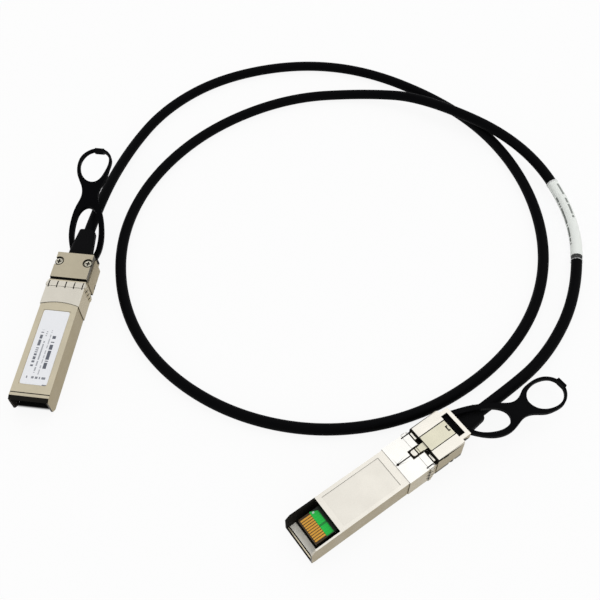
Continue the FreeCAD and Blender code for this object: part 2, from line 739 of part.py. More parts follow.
def pull_tab(suffix, placement):
    """Flexible tab bent from one strip: tongue, yoke, two arms, neck and finger ring."""
    level = number("tab_level_" + suffix)
    bend = math.radians(number("tab_bend_" + suffix))
    fall = number("tab_fall_" + suffix)
    sway = number("tab_sway_" + suffix)
    arm = number("tab_arm_" + suffix)
    lip = number("lip_end")
    half = number("tab_thick / 2")
    radius = number("tab_bend_radius")
    bridge = number("tab_bridge")
    eye_length = number("tab_eye_length")
    eye_start = arm + bridge
    length = eye_start + eye_length + number("tab_ring_band")
    curve = radius * bend
    bends = [level, level + curve, level + fall, level + fall + curve]

    def along(distance):
        """The strip's middle line: x, z and slope at a distance behind the lip."""
        x, z, slope, here = lip, number("body_height - tab_drop"), 0.0, 0.0
        for index, stop in enumerate(bends + [length]):
            run = min(distance, stop) - here
            turning = {1: 1, 3: -1}.get(index, 0)
            turned = turning * max(run, 0) / radius
            if turning and run > 0:
                x += turning * radius * (math.sin(slope + turned) - math.sin(slope))
                z += turning * radius * (math.cos(slope + turned) - math.cos(slope))
                slope += turned
            else:
                x += run * math.cos(slope)
                z -= run * math.sin(slope)
            here = stop
            if distance <= stop:
                break
        return x, z, slope

    def face(distance, height):
        """A point of the side view, off the middle line by height."""
        x, z, slope = along(distance)
        return Vector(x + height * math.sin(slope), z + height * math.cos(slope))

    def plan(distance, side):
        """A point of the plan view, moved sideways as the tab sways."""
        share = min(max(distance / length, 0), 1)
        return Vector(along(distance)[0], side + sway * (1 - (1 - share) ** 4))

    body = add_body("pull_tab_" + suffix, placement)
    front = number("tab_front") - lip
    side_view = add_sketch(body, "XZ_Plane")
    for height in (half, -half):
        path = [front] + bends + [length]
        for index, (start, end) in enumerate(zip(path, path[1:])):
            first, last = face(start, height), face(end, height)
            if index in (1, 3):
                side_view.addGeometry(Part.Arc(first, face((start + end) / 2, height), last))
            else:
                side_view.addGeometry(Part.LineSegment(first, last))
    side_view.addGeometry(Part.LineSegment(face(front, half), face(front, -half)))
    side_view.addGeometry(Part.LineSegment(face(length, half), face(length, -half)))
    pad(body, side_view, "4 * body_width", both_ways=True)

    root = number(f"{TAB_ROOT_WIDTH} / 2")
    loop = number("tab_loop_width / 2")
    neck = number("tab_neck_width / 2")
    ring_half = number("tab_ring_width / 2")
    arm_outline = [(0, root), (0.17 * arm, 0.87 * loop), (0.4 * arm, loop), (0.68 * arm, 0.96 * loop)]
    neck_outline = [(arm, 0.7 * loop), (arm + 0.45 * bridge, neck), (arm + 0.8 * bridge, 1.15 * neck)]
    ring_outline = [(0.12, 0.87), (0.4, 1.0), (0.75, 0.95), (0.96, 0.62)]
    rim_half = arm_outline + neck_outline
    rim_half += [(eye_start + share * eye_length, width * ring_half) for share, width in ring_outline]
    rim = [plan(distance, -width) for distance, width in rim_half]
    rim += [plan(length, 0)]
    rim += [plan(distance, width) for distance, width in reversed(rim_half)]
    yoke_half = number(f"{YOKE_WIDTH} / 2")
    tongue_half = number("tab_tongue_width / 2")
    yoke_start = number("tab_yoke_start")
    yoke_end = number("tab_yoke_end")
    inside = [Vector(yoke_end, yoke_half), Vector(yoke_start, yoke_half), Vector(yoke_start, tongue_half),
              Vector(front + lip, tongue_half), Vector(front + lip, -tongue_half),
              Vector(yoke_start, -tongue_half), Vector(yoke_start, -yoke_half), Vector(yoke_end, -yoke_half)]
    reach = number("2 * body_width")
    margin = number("body_height")
    waste = add_sketch(body, "XY_Plane")
    low, high = front + lip - margin, lip + length + margin
    outline(waste, [Vector(low, -reach), Vector(high, -reach), Vector(high, reach), Vector(low, reach)])
    add_spline(waste, rim)
    path = [rim[-1]] + inside + [rim[0]]
    for start, end in zip(path, path[1:]):
        waste.addGeometry(Part.LineSegment(start, end))
    pocket(body, waste, "8 * body_height", both_ways=True)

    arm_width = number("tab_arm_width")
    holes = add_sketch(body, "XY_Plane")
    back = number("tab_yoke_end") - lip
    loop_half = [(distance, width - arm_width) for distance, width in arm_outline]
    loop_half += [(0.92 * arm, 0.4 * loop)]
    gap = [plan(back, arm_width - root)] + [plan(distance, -width) for distance, width in loop_half]
    gap += [plan(arm, 0)]
    gap += [plan(distance, width) for distance, width in reversed(loop_half)] + [plan(back, root - arm_width)]
    add_spline(holes, gap)
    holes.addGeometry(Part.LineSegment(gap[-1], gap[0]))
    eye_half = ring_half - number("tab_ring_band")
    eye_outline = [(0.1, 0.6), (0.35, 0.95), (0.7, 0.97), (0.92, 0.62)]
    sides = [(eye_start + share * eye_length, width * eye_half) for share, width in eye_outline]
    eye = [plan(eye_start, 0)] + [plan(distance, -width) for distance, width in sides]
    eye += [plan(eye_start + eye_length, 0)]
    eye += [plan(distance, width) for distance, width in reversed(sides)]
    add_spline(holes, eye, closed=True)
    pocket(body, holes, "8 * body_height", both_ways=True)
    tang = ("tab_tang_place - tab_hole_gap", "tab_tang_place + tang_thick + tab_hole_gap",
            *across("tab_tang_width + 2 * tab_hole_gap"))
    cut(body, [tang], CHANNEL_FLOOR, BOX_TOP)

    grip = add_sketch(body, "XZ_Plane")
    grip_start = length - number("tab_pad_length")
    grip_top = half + number("tab_pad_height")
    outline(grip, [face(grip_start, -half), face(length, -half), face(length, grip_top), face(grip_start, grip_top)])
    grip.AttachmentOffset = Placement(Vector(0, 0, -sway), Rotation())
    pad(body, grip, "tab_pad_width", both_ways=True)
    return body


def add_spline(sketch, points, closed=False):
    curve = Part.BSplineCurve()
    curve.interpolate(points, PeriodicFlag=closed)
    sketch.addGeometry(curve)


def cover_screws(suffix, placement):
    """Two cross-recess screws that hold the cover, mirrored about the plug's middle."""
    body = add_body("cover_screws_" + suffix, placement)
    head_low = "screw_recess_depth - cover_rise - screw_head_height"
    head_high = "screw_recess_depth - cover_rise"
    side = f"{SCREW_SPACING} / 2"
    head = add_sketch(body, "XY_Plane", head_low)
    circle(head, "screw_place", side, "screw_head_radius")
    head_pad = pad(body, head, "screw_head_height")
    doc.recompute()
    edges = []
    for index, edge in enumerate(head_pad.Shape.Edges, start=1):
        if len(edge.Vertexes) == 1 and near(edge.Vertexes[0].Point.z, head_low):
            edges.append(f"Edge{index}")
    rim = body.newObject("PartDesign::Chamfer", "Chamfer")
    rim.Base = (head_pad, edges)
    rim.setExpression("Size", bound("screw_head_height / 3"))
    shank = add_sketch(body, "XY_Plane", head_high)
    circle(shank, "screw_place", side, "screw_shank_radius")
    pad(body, shank, "screw_length - screw_gap")
    half_long = "screw_cross_length / 2"
    half_wide = "screw_cross_width / 2"
    for reach_x, reach_y in ((half_long, half_wide), (half_wide, half_long)):
        cross = add_sketch(body, "XY_Plane", f"{head_low} + screw_cross_depth")
        limits = (f"screw_place - {reach_x}", f"screw_place + {reach_x}", f"{side} - {reach_y}", f"{side} + {reach_y}")
        rectangle(cross, *limits)
        pocket(body, cross, "screw_cross_depth")
    doc.recompute()
    mirror = body.newObject("PartDesign::Mirrored", "Mirrored")
    mirror.Originals = [item for item in body.Group if item.isDerivedFrom("PartDesign::Feature")][:-1]
    plane = [item for item in body.Origin.OriginFeatures if item.Role == "XZ_Plane"][0]
    mirror.MirrorPlane = (plane, [""])
    body.Tip = mirror
    return body


def plug_label(suffix, placement):
    body = add_body("plug_label_" + suffix, placement)
    low = "label_recess - label_thick"
    block(body, [("label_start", "label_end", *across("label_width"))], low, "label_recess")
    doc.recompute()
    shape = body.Tip.Shape
    names = []
    for index, edge in enumerate(shape.Edges, start=1):
        if abs(edge.Vertexes[0].Z - edge.Vertexes[-1].Z) > 0.01:
            names.append(f"Edge{index}")
    base = body.Tip
    fillet = body.newObject("PartDesign::Fillet", "Corners")
    fillet.Base = (base, names)
    fillet.setExpression("Radius", bound("label_corner"))
    return body


def add_feature(label, shape, placement):
    feature = doc.addObject("Part::Feature", "Solid_" + label)
    feature.Label = label
    feature.Shape = shape
    feature.Placement = placement
    sub_parts.append(feature)
    return feature


def rounded_path(points, show_radii=False):
    """Straight runs joined by tangent arcs, each as large as its two runs allow."""
    edges = []
    radii = []
    here = points[0]
    for before, corner, after in zip(points, points[1:], points[2:]):
        incoming = corner - before
        outgoing = after - corner
        turn = incoming.getAngle(outgoing)
        shorter = min(incoming.Length, outgoing.Length)
        tangent = 0.45 * shorter
        radius = tangent / math.tan(turn / 2)
        start = corner - incoming.normalize() * tangent
        end = corner + outgoing.normalize() * tangent
        inward = (start + end) * 0.5 - corner
        to_arc = math.hypot(radius, tangent) - radius
        middle = corner + inward.normalize() * to_arc
        edges.append(Part.LineSegment(here, start).toShape())
        edges.append(Part.Arc(start, middle, end).toShape())
        radii.append(radius)
        here = end
    edges.append(Part.LineSegment(here, points[-1]).toShape())
    if show_radii:
        print("cable radii in mm:", " ".join(f"{radius:.0f}" for radius in radii))
    return edges


def sweep_round(edges, radius):
    path = Part.Wire(edges)
    start = edges[0].Vertexes[0].Point
    direction = edges[0].tangentAt(edges[0].FirstParameter)
    profile = Part.Wire([Part.Circle(start, direction, radius).toShape()])
    return path.makePipeShell([profile], True, False)


def straight_sweep(points, radius, sides):
    """A many-sided bar along straight runs, mitred at the corners."""
    direction = points[1] - points[0]
    across_path = direction.cross(Vector(0, 0, 1))
    if across_path.Length < 0.001:
        across_path = Vector(0, 1, 0)
    arm = across_path.normalize() * radius
    corners = []
    for step in range(sides + 1):
        turn = Rotation(direction, 360 * step / sides)
        corners.append(points[0] + turn.multVec(arm))
    profile = Part.makePolygon(corners)
    return Part.makePolygon(points).makePipeShell([profile], True, False, 1)


def core_wires(suffix, placement):
    """Four insulated conductors, from the cable's end to the card's label-side face."""
    radius = number("core_radius")
    offset = number("core_offset")
    height = number(CABLE_HEIGHT)
    start = number("cable_start - bore_gap")
    land_z = number(f"{CARD_LOW} - core_radius - core_gap")
    strands = []
    for side in (-1, 1):
        for level, lane in ((1, "0.6 * core_spread"), (-1, "1.6 * core_spread")):
            land_y = side * number(lane)
            leave = Vector(start, side * offset, height + level * offset)
            points = [leave, leave - Vector(number("core_bare_run"), 0, 0),
                      Vector(number("card_end + core_rise_end"), land_y, land_z),
                      Vector(number("card_end - core_length_on_card"), land_y, land_z)]
            strands.append(straight_sweep(points, radius, 12))
    add_feature("core_wires_" + suffix, Part.Compound(strands), placement)


def slider_springs(suffix, placement):
    """Two compression springs between the slider's front tang and the channel's rib."""
    start = number("spring_tang_place + tang_thick + bore_gap")
    end = number("spring_stop_place - bore_gap")
    wire = number("spring_wire")
    radius = number("spring_radius")
    turns = round(number("spring_turns"))
    free = end - start - wire
    height = number(f"{CHANNEL_FLOOR} + spring_radius + spring_wire / 2 + 2 * bore_gap")
    steps = 10 * turns
    coils = []
    for side in (-1, 1):
        middle = side * number("spring_spacing / 2")
        points = []
        for step in range(steps + 1):
            turn = 2 * math.pi * turns * step / steps
            x = start + wire / 2 + free * step / steps
            points.append(Vector(x, middle + radius * math.sin(turn), height + radius * math.cos(turn)))
        coils.append(straight_sweep(points, wire / 2, 8))
    add_feature("slider_springs_" + suffix, Part.Compound(coils), placement)


def build_plug(suffix, placement, labelled):
    lower_shell(suffix, placement)
    upper_shell(suffix, placement)
    emi_collar(suffix, placement)
    paddle_card(suffix, placement)
    contact_pads(suffix, placement)
    memory_chip(suffix, placement)
    capacitors(suffix, placement)
    core_wires(suffix, placement)
    crimp_ferrule(suffix, placement)
    strain_relief_boot(suffix, placement)
    latch_slider(suffix, placement)
    slider_springs(suffix, placement)
    pull_tab(suffix, placement)
    cover_screws(suffix, placement)
    if labelled:
        plug_label(suffix, placement)


def plug_a_placement():
    """Latch side down, resting on the bevelled nose and on the front edge of the rear box."""
    tilt = math.atan2(number("box_rise"), number("box_start - nose_bevel"))
    turn = Rotation(Vector(0, 0, 1), number("plug_a_turn"))
    lean = Rotation(Vector(0, 1, 0), -math.degrees(tilt))
    upside_down = Rotation(Vector(1, 0, 0), 180)
    height = number("body_height") * math.cos(tilt) - number("nose_bevel") * math.sin(tilt)
    base = Vector(number("plug_a_x"), number("plug_a_y"), height)
    return Placement(base, turn.multiply(lean).multiply(upside_down))


def plug_b_placement():
    """Latch side up, resting on the raised cover."""
    base = Vector(number("plug_b_x"), number("plug_b_y"), number("cover_rise"))
    return Placement(base, Rotation(Vector(0, 0, 1), number("plug_b_turn")))


def cable_corners(first_plug, second_plug):
    """The corners of the cable: along the first plug's axis, the route, the second's axis."""
    start = number("cable_start")
    height = number(CABLE_HEIGHT)
    corners = []
    for reach in ("0", "first_run"):
        corners.append(first_plug.multVec(Vector(start + number(reach), 0, height)))
    corners += [Vector(*corner) for corner in ROUTE]
    for reach in ("last_run", "0"):
        corners.append(second_plug.multVec(Vector(start + number(reach), 0, height)))
    return corners


def around_corner(corners, index, length):
    """A stretch of the rounded path, with one corner's arc at its middle."""
    before, corner, after = corners[index - 1:index + 2]
    incoming = corner - before
    outgoing = after - corner
    tangent = 0.45 * min(incoming.Length, outgoing.Length)
    turn = incoming.getAngle(outgoing)
    radius = tangent / math.tan(turn / 2)
    straight = (length - radius * turn) / 2
    incoming.normalize()
    outgoing.normalize()
    start = corner - incoming * tangent
    end = corner + outgoing * tangent
    inward = ((start + end) * 0.5 - corner).normalize()
    middle = corner + inward * (math.hypot(radius, tangent) - radius)
    first = Part.LineSegment(start - incoming * straight, start).toShape()
    bend = Part.Arc(start, middle, end).toShape()
    last = Part.LineSegment(end, end + outgoing * straight).toShape()
    return [first, bend, last]


def tube(edges, inner, outer):
    return sweep_round(edges, outer).cut(sweep_round(edges, inner))


def add_cable(first_plug, second_plug):
    """The jacket from plug to plug, the white label round it and a clear sleeve on the label."""
    corners = cable_corners(first_plug, second_plug)
    edges = rounded_path(corners, show_radii=True)
    radius = number(CABLE_RADIUS)
    jacket = sweep_round(edges, radius)
    length = sum(edge.Length for edge in edges)
    swept = jacket.Volume / (math.pi * radius ** 2)
    print(f"cable length {length:.1f} mm, from its volume {swept:.1f} mm")
    if abs(swept / length - 1) > 0.005:
        raise RuntimeError("the cable's volume does not match its length")
    still = Placement()
    add_feature("cable_jacket", jacket, still)
    gap = number("cable_label_gap")
    inner = radius + gap
    outer = inner + number("wrap_thick")
    outermost = max(ROUTE, key=lambda corner: corner[0])
    label_index = ROUTE.index(outermost) + 2
    label_path = around_corner(corners, label_index, number("cable_label_length"))
    add_feature("cable_label", tube(label_path, inner, outer), still)
    sleeve_path = around_corner(corners, label_index, number("sleeve_length"))
    sleeve_inner = outer + gap
    sleeve = tube(sleeve_path, sleeve_inner, sleeve_inner + number("sleeve_thick"))
    add_feature("label_sleeve", sleeve, still)


plug_a = plug_a_placement()
plug_b = plug_b_placement()
build_plug("a", plug_a, labelled=True)
build_plug("b", plug_b, labelled=False)
add_cable(plug_a, plug_b)

doc.recompute()
for item in doc.Objects:
    if "Invalid" in item.State or "Error" in item.State:
        raise RuntimeError(f"{item.Name} ({item.Label}) failed: {item.State}")
    if item.isDerivedFrom("PartDesign::Pocket"):
        removed = item.BaseFeature.Shape.Volume - item.Shape.Volume
        if removed <= 0:
            raise RuntimeError(f"{item.Name} cuts nothing from {item.BaseFeature.Label}")

os.makedirs("parts", exist_ok=True)
for item in sub_parts:
    shape = item.Shape
    if shape.isNull() or not shape.isValid():
        raise RuntimeError(f"{item.Label} has no valid shape")
    shape.exportStep(f"parts/{item.Label}.step")
box = None
for item in sub_parts:
    limits = item.Shape.BoundBox
    print(f"{item.Label}: {len(item.Shape.Solids)} solids, {item.Shape.Volume:.2f} mm3")
    if item.Label in ("cable_jacket", "cable_label", "label_sleeve"):
        continue
    if box is None:
        box = FreeCAD.BoundBox(limits)
    box.add(limits)
print(f"box x {box.XMin:.2f} {box.XMax:.2f} y {box.YMin:.2f} {box.YMax:.2f} z {box.ZMin:.2f} {box.ZMax:.2f}")
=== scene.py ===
import bpy
import bmesh
import math
from mathutils import Matrix, Vector


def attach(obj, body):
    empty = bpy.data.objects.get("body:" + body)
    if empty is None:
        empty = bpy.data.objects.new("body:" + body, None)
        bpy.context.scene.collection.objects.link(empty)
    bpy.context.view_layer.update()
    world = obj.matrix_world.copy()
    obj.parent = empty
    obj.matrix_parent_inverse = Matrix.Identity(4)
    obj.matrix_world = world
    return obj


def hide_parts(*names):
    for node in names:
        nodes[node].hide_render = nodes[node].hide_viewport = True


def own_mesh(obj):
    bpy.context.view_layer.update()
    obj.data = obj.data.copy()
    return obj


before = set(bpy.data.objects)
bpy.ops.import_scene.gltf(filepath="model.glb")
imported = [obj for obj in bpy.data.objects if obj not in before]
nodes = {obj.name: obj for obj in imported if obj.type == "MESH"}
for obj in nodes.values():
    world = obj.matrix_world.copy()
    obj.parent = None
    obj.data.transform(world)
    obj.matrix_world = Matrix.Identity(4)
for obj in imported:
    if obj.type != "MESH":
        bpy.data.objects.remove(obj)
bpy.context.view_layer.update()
mm = 0.001  # sizes below are in millimetres

# The plugs' own frames: x runs from the nose to the rear, z from the label face to the latch face
plugSettings = {
    "a": {"place": (-84.47, -24.8), "turn": 81.76, "labelUp": True, "rise": 1.2, "reach": 46.4, "bevel": 1.6},
    "b": {"place": (2.35, -71.39), "turn": 35.0, "labelUp": False, "lift": 0.4},
}

# Sizes of the plug that several pieces share
bodyHeight, halfWidth = 8.5, 6.7
openingEnd, plateInside = 10.8, 0.95
collarSeat = (36.95, 46.8)
screwPlace = (55.15, 5.3)


def plugFrame(settings):
    turn = Matrix.Rotation(math.radians(settings["turn"]), 4, "Z")
    x, y = settings["place"]
    if not settings["labelUp"]:
        return Matrix.Translation(Vector((x, y, settings["lift"])) * mm) @ turn
    tilt = math.atan2(settings["rise"], settings["reach"])
    lift = bodyHeight * math.cos(tilt) - settings["bevel"] * math.sin(tilt)
    lean = Matrix.Rotation(-tilt, 4, "Y") @ Matrix.Rotation(math.pi, 4, "X")
    return Matrix.Translation(Vector((x, y, lift)) * mm) @ turn @ lean


plugs = {name: plugFrame(settings) for name, settings in plugSettings.items()}


def onPlug(name, x, y, z):
    return plugs[name] @ (Vector((x, y, z)) * mm)


def link(thing):
    bpy.context.scene.collection.objects.link(thing)
    return thing


def declare(piece, body, slot, *replaced):
    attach(piece, body)
    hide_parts(*replaced)
    return piece


# Camera at the photograph's angle
cameraSettings = {
    "place": (4.23, -155.55, 251.4),
    "down": 55.32,
    "roll": -1.12,
    "focalPixels": 849.1,
    "picturePixels": 600,
    "sensor": 36,
    "seen": (10, 20000),
}


def makeCamera(settings):
    down, roll = math.radians(settings["down"]), math.radians(settings["roll"])
    forward = Vector((0, math.cos(down), -math.sin(down)))
    up = Vector((0, math.sin(down), math.cos(down)))
    right = Vector((1, 0, 0))
    side = right * math.cos(roll) + up * math.sin(roll)
    top = up * math.cos(roll) - right * math.sin(roll)
    data = bpy.data.cameras.new("camera")
    data.sensor_width = settings["sensor"]
    data.lens = settings["sensor"] * settings["focalPixels"] / settings["picturePixels"]
    data.clip_start, data.clip_end = (distance * mm for distance in settings["seen"])
    camera = link(bpy.data.objects.new("camera", data))
    basis = Matrix((side, top, -forward)).transposed().to_4x4()
    camera.matrix_world = Matrix.Translation(Vector(settings["place"]) * mm) @ basis
    bpy.context.scene.camera = camera


makeCamera(cameraSettings)
print("camera ready")

# Cable: one smooth spline through the route of the solid, round once and over itself
cableSettings = {
    "radius": 2.0,
    "start": 53.6,
    "firstRun": 29.0,
    "lastRun": 27.0,
    "axisHeight": 3.9,
    "exit": 71.5,
    "length": 918,
    "stepsPerPoint": 16,
    "roundness": 7,
    "route": [
        (-65.0, 91.4, 2.0), (-51.3, 117.1, 2.0), (-28.0, 135.8, 2.0), (4.3, 143.9, 2.0),
        (34.8, 138.8, 2.0), (63.9, 120.1, 2.0), (83.8, 97.2, 2.0), (94.8, 67.9, 2.0),
        (96.0, 36.9, 2.0), (86.8, 8.8, 2.0), (68.0, -14.2, 2.0), (40.6, -30.9, 2.0),
        (9.5, -35.5, 2.0), (-20.8, -27.6, 2.0), (-45.7, -8.7, 2.0), (-60.0, 17.7, 2.0),
        (-63.1, 49.6, 2.0), (-52.8, 80.0, 2.0), (-30.5, 105.8, 2.0), (1.3, 122.4, 2.0),
        (33.8, 124.1, 2.0), (58.2, 116.0, 6.4), (94.6, 89.6, 6.4), (109.8, 53.2, 2.3),
        (103.5, 17.7, 2.3), (88.5, -7.8, 2.0),
    ],
}


def cablePoints(settings):
    start, height = settings["start"], settings["axisHeight"]
    points = [onPlug("a", start, 0, height), onPlug("a", start + settings["firstRun"], 0, height)]
    points += [Vector(point) * mm for point in settings["route"]]
    points += [onPlug("b", start + settings["lastRun"], 0, height), onPlug("b", start, 0, height)]
    return points


# Thickness is a share of the cable's own; 0 gives the bare line
def makeCordCurve(name, points, thickness, settings):
    curve = bpy.data.curves.new(name, "CURVE")
    curve.dimensions = "3D"
    spline = curve.splines.new("NURBS")
    spline.points.add(len(points) - 1)
    for knot, point in zip(spline.points, points):
        knot.co = (*point, 1)
        knot.radius = settings["radius"] * mm
    spline.order_u = 3
    spline.use_endpoint_u = True
    spline.resolution_u = settings["stepsPerPoint"]
    curve.bevel_depth = thickness
    curve.bevel_resolution = settings["roundness"]
    curve.use_fill_caps = thickness > 0
    return link(bpy.data.objects.new(name, curve))


def splinePath(points, settings):
    plain = makeCordCurve("path_only", points, 0, settings)
    mesh = bpy.data.meshes.new_from_object(plain)
    path = [vertex.co.copy() for vertex in mesh.vertices]
    bpy.data.objects.remove(plain)
    bpy.data.meshes.remove(mesh)
    return path


routePoints = cablePoints(cableSettings)
cord = makeCordCurve("cable_cord", routePoints, 1.0, cableSettings)
declare(cord, "cable_and_plugs", "jacket_black", "cable_jacket")
cordPath = splinePath(routePoints, cableSettings)
print("cable ready")


# Short ways to build the nodes of one tree
class Shading:
    def __init__(self, tree):
        self.tree = tree

    def feed(self, socket, value):
        if isinstance(value, bpy.types.NodeSocket):
            self.tree.links.new(value, socket)
        elif socket.type == "RGBA" and len(value) == 3:
            socket.default_value = (*value, 1)
        else:
            socket.default_value = value

    def node(self, kind, inputs=(), **settings):
        made = self.tree.nodes.new(kind)
        for name, value in settings.items():
            setattr(made, name, value)
        for name, value in dict(inputs).items():
            self.feed(made.inputs[name], value)
        return made

    def maths(self, operation, first, second=0.0):
        made = self.node("ShaderNodeMath", {0: first, 1: second}, operation=operation)
        return made.outputs[0]

    def times(self, first, *others):
        for other in others:
            first = self.maths("MULTIPLY", first, other)
        return first

    def largest(self, first, *others):
        for other in others:
            first = self.maths("MAXIMUM", first, other)
        return first

    def opposite(self, value):
        return self.maths("SUBTRACT", 1.0, value)

    def mix(self, share, first, second):
        made = self.node("ShaderNodeMix", {0: share, 6: first, 7: second}, data_type="RGBA")
        return made.outputs[2]

    def ramp(self, value, low, high, start=0.0, end=1.0):
        limits = {"Value": value, "From Min": low, "From Max": high, "To Min": start, "To Max": end}
        return self.node("ShaderNodeMapRange", limits, interpolation_type="SMOOTHSTEP").outputs["Result"]

    def noise(self, where, scale, detail=2.0):
        inputs = {"Vector": where, "Scale": scale, "Detail": detail}
        return self.node("ShaderNodeTexNoise", inputs).outputs["Fac"]

    def chance(self, seeds):
        seed = self.node("ShaderNodeCombineXYZ", seeds).outputs["Vector"]
        return self.node("ShaderNodeTexWhiteNoise", {"Vector": seed}, noise_dimensions="3D").outputs["Value"]

    def attribute(self, name):
        return self.node("ShaderNodeAttribute", attribute_name=name).outputs["Fac"]

    def parts(self, vector):
        return self.node("ShaderNodeSeparateXYZ", {"Vector": vector}).outputs

    def dot(self, first, second):
        made = self.node("ShaderNodeVectorMath", {0: first, 1: second}, operation="DOT_PRODUCT")
        return made.outputs["Value"]

    def place(self):
        return self.node("ShaderNodeTexCoord").outputs["Object"]

    def ownPlace(self):
        return self.parts(self.node("ShaderNodeUVMap", uv_map="own").outputs["UV"])[:2]

    def near(self, value, middle, half):
        return self.maths("LESS_THAN", self.maths("ABSOLUTE", self.maths("SUBTRACT", value, middle)), half)

    def box(self, x, y, middle, half):
        return self.times(self.near(x, middle[0], half[0]), self.near(y, middle[1], half[1]))


# Grain, soft patches and worn edges, shared by metals and plastics
surfaceSettings = {
    "grainDetail": 3.0, "patchesPerMetre": 160.0, "patchDetail": 4.0,
    "wearPerMetre": 900.0, "wearEdge": (0.35, 0.6), "roughSpread": 0.25, "bump": 0.04,
    "inputs": (
        ("Color", "Color", (0.5, 0.5, 0.5, 1)), ("Worn Color", "Color", (0.6, 0.6, 0.6, 1)),
        ("Roughness", "Float", 0.4), ("Grain Size", "Float", 0.3), ("Grain", "Float", 0.1),
        ("Patches", "Float", 0.1),
    ),
    "outputs": (("Color", "Color"), ("Roughness", "Float"), ("Normal", "Vector")),
}


def makeSurfaceGroup(settings):
    group = bpy.data.node_groups.new("surfaceDetail", "ShaderNodeTree")
    for name, kind, value in settings["inputs"]:
        made = group.interface.new_socket(name, in_out="INPUT", socket_type="NodeSocket" + kind)
        made.default_value = value
    for name, kind in settings["outputs"]:
        group.interface.new_socket(name, in_out="OUTPUT", socket_type="NodeSocket" + kind)
    n = Shading(group)
    chosen = n.node("NodeGroupInput").outputs
    where = n.place()
    grain = n.noise(where, n.maths("DIVIDE", 1 / mm, chosen["Grain Size"]), settings["grainDetail"])
    patches = n.noise(where, settings["patchesPerMetre"], settings["patchDetail"])
    offPatches, offGrain = n.maths("SUBTRACT", patches, 0.5), n.maths("SUBTRACT", grain, 0.5)
    rubbed = n.ramp(n.noise(where, settings["wearPerMetre"]), *settings["wearEdge"])
    worn = n.times(n.attribute("edge"), rubbed)
    spread = n.times(offPatches, chosen["Patches"])
    speckle = n.times(offGrain, chosen["Grain"])
    shade = n.maths("ADD", n.maths("ADD", 1.0, spread), speckle)
    toned = n.node("ShaderNodeVectorMath", {"Vector": chosen["Color"], "Scale": shade}, operation="SCALE")
    colour = n.mix(worn, toned.outputs["Vector"], chosen["Worn Color"])
    rough = n.maths("ADD", chosen["Roughness"], n.times(offPatches, settings["roughSpread"]))
    relief = {"Strength": chosen["Grain"], "Distance": settings["bump"] * mm, "Height": grain}
    out = n.node("NodeGroupOutput", {"Color": colour, "Roughness": rough})
    n.feed(out.inputs["Normal"], n.node("ShaderNodeBump", relief).outputs["Normal"])
    return group


surfaceGroup = makeSurfaceGroup(surfaceSettings)

# Painted light and shade by facing: level faces lighter, upright sides darker, the nose ends darkest, the
# label-side cover darker
castShadeSettings = {
    "aim": (-0.5, -0.86, 0.0),  # the way that both noses point, about
    "ahead": (0.7, 0.88),
    "level": (0.35, 0.92),
    "coverStart": 47.5,
    "coverOnFace": 0.5,
    "coverOnSide": 0.85,
}


# Lines is the function that draws the piece's thin shadow lines
def castPaintedShadeTint(tones, lines):
    def tint(n):
        normal = n.node("ShaderNodeTexCoord").outputs["Normal"]
        flat = n.ramp(n.maths("ABSOLUTE", n.parts(normal)["Z"]), *castShadeSettings["level"])
        ahead = n.ramp(n.dot(normal, castShadeSettings["aim"]), *castShadeSettings["ahead"])
        latchSide = n.attribute("latchSide")
        x, y = n.ownPlace()
        cover = n.times(n.maths("GREATER_THAN", x, castShadeSettings["coverStart"]), n.opposite(latchSide))
        face = n.mix(latchSide, tones["label"], tones["latch"])
        face = n.mix(n.times(cover, castShadeSettings["coverOnFace"]), face, tones["cover"])
        side = n.mix(n.times(cover, castShadeSettings["coverOnSide"]), tones["side"], tones["front"])
        colour = n.mix(flat, n.mix(ahead, side, tones["front"]), face)
        return n.mix(n.times(lines(n, x, y), latchSide, flat), colour, tones["front"])
    return tint


# Painted shadow lines along the panel outline and the boss's rim, and a faint darkening inside the panel;
# each box with its middle and half size
caseMarks = {
    "panel": ((23.4, 0.0), (10.8, 5.5)), "panelInside": ((23.2, -0.1), (10.75, 5.42)),
    "boss": ((43.95, 0.0), (0.95, 1.2)), "bossTop": ((43.98, 0.0), (0.76, 1.0)),
    "outlineShade": 0.42, "panelShade": 0.05,
}


def caseLines(n, x, y):
    inPanel, inside = n.box(x, y, *caseMarks["panel"]), n.box(x, y, *caseMarks["panelInside"])
    outline = n.times(n.maths("SUBTRACT", inPanel, inside), caseMarks["outlineShade"])
    rim = n.maths("SUBTRACT", n.box(x, y, *caseMarks["boss"]), n.box(x, y, *caseMarks["bossTop"]))
    return n.largest(outline, n.times(inPanel, caseMarks["panelShade"]), rim)


# Painted shadow lines at the edge of the collar's window round the latch boss, and at its seam
collarMarks = {"window": ((44.9, 0.0), (2.32, 1.62)), "seam": ((40.2, 0.0), (2.5, 0.2))}


def collarLines(n, x, y):
    return n.largest(n.box(x, y, *collarMarks["window"]), n.box(x, y, *collarMarks["seam"]))


# Painted shadow lines: two across the tongue, behind the boss, and along its two edges
sliderMarks = {"lines": ((45.05, 0.14), (45.75, 0.1)), "tongueEnd": 47.0, "tongueSide": 0.98}


def sliderLines(n, x, y):
    across = [n.near(x, middle, half) for middle, half in sliderMarks["lines"]]
    onTongue = n.maths("LESS_THAN", x, sliderMarks["tongueEnd"])
    edges = n.times(onTongue, n.maths("GREATER_THAN", n.maths("ABSOLUTE", y), sliderMarks["tongueSide"]))
    return n.largest(*across, edges)


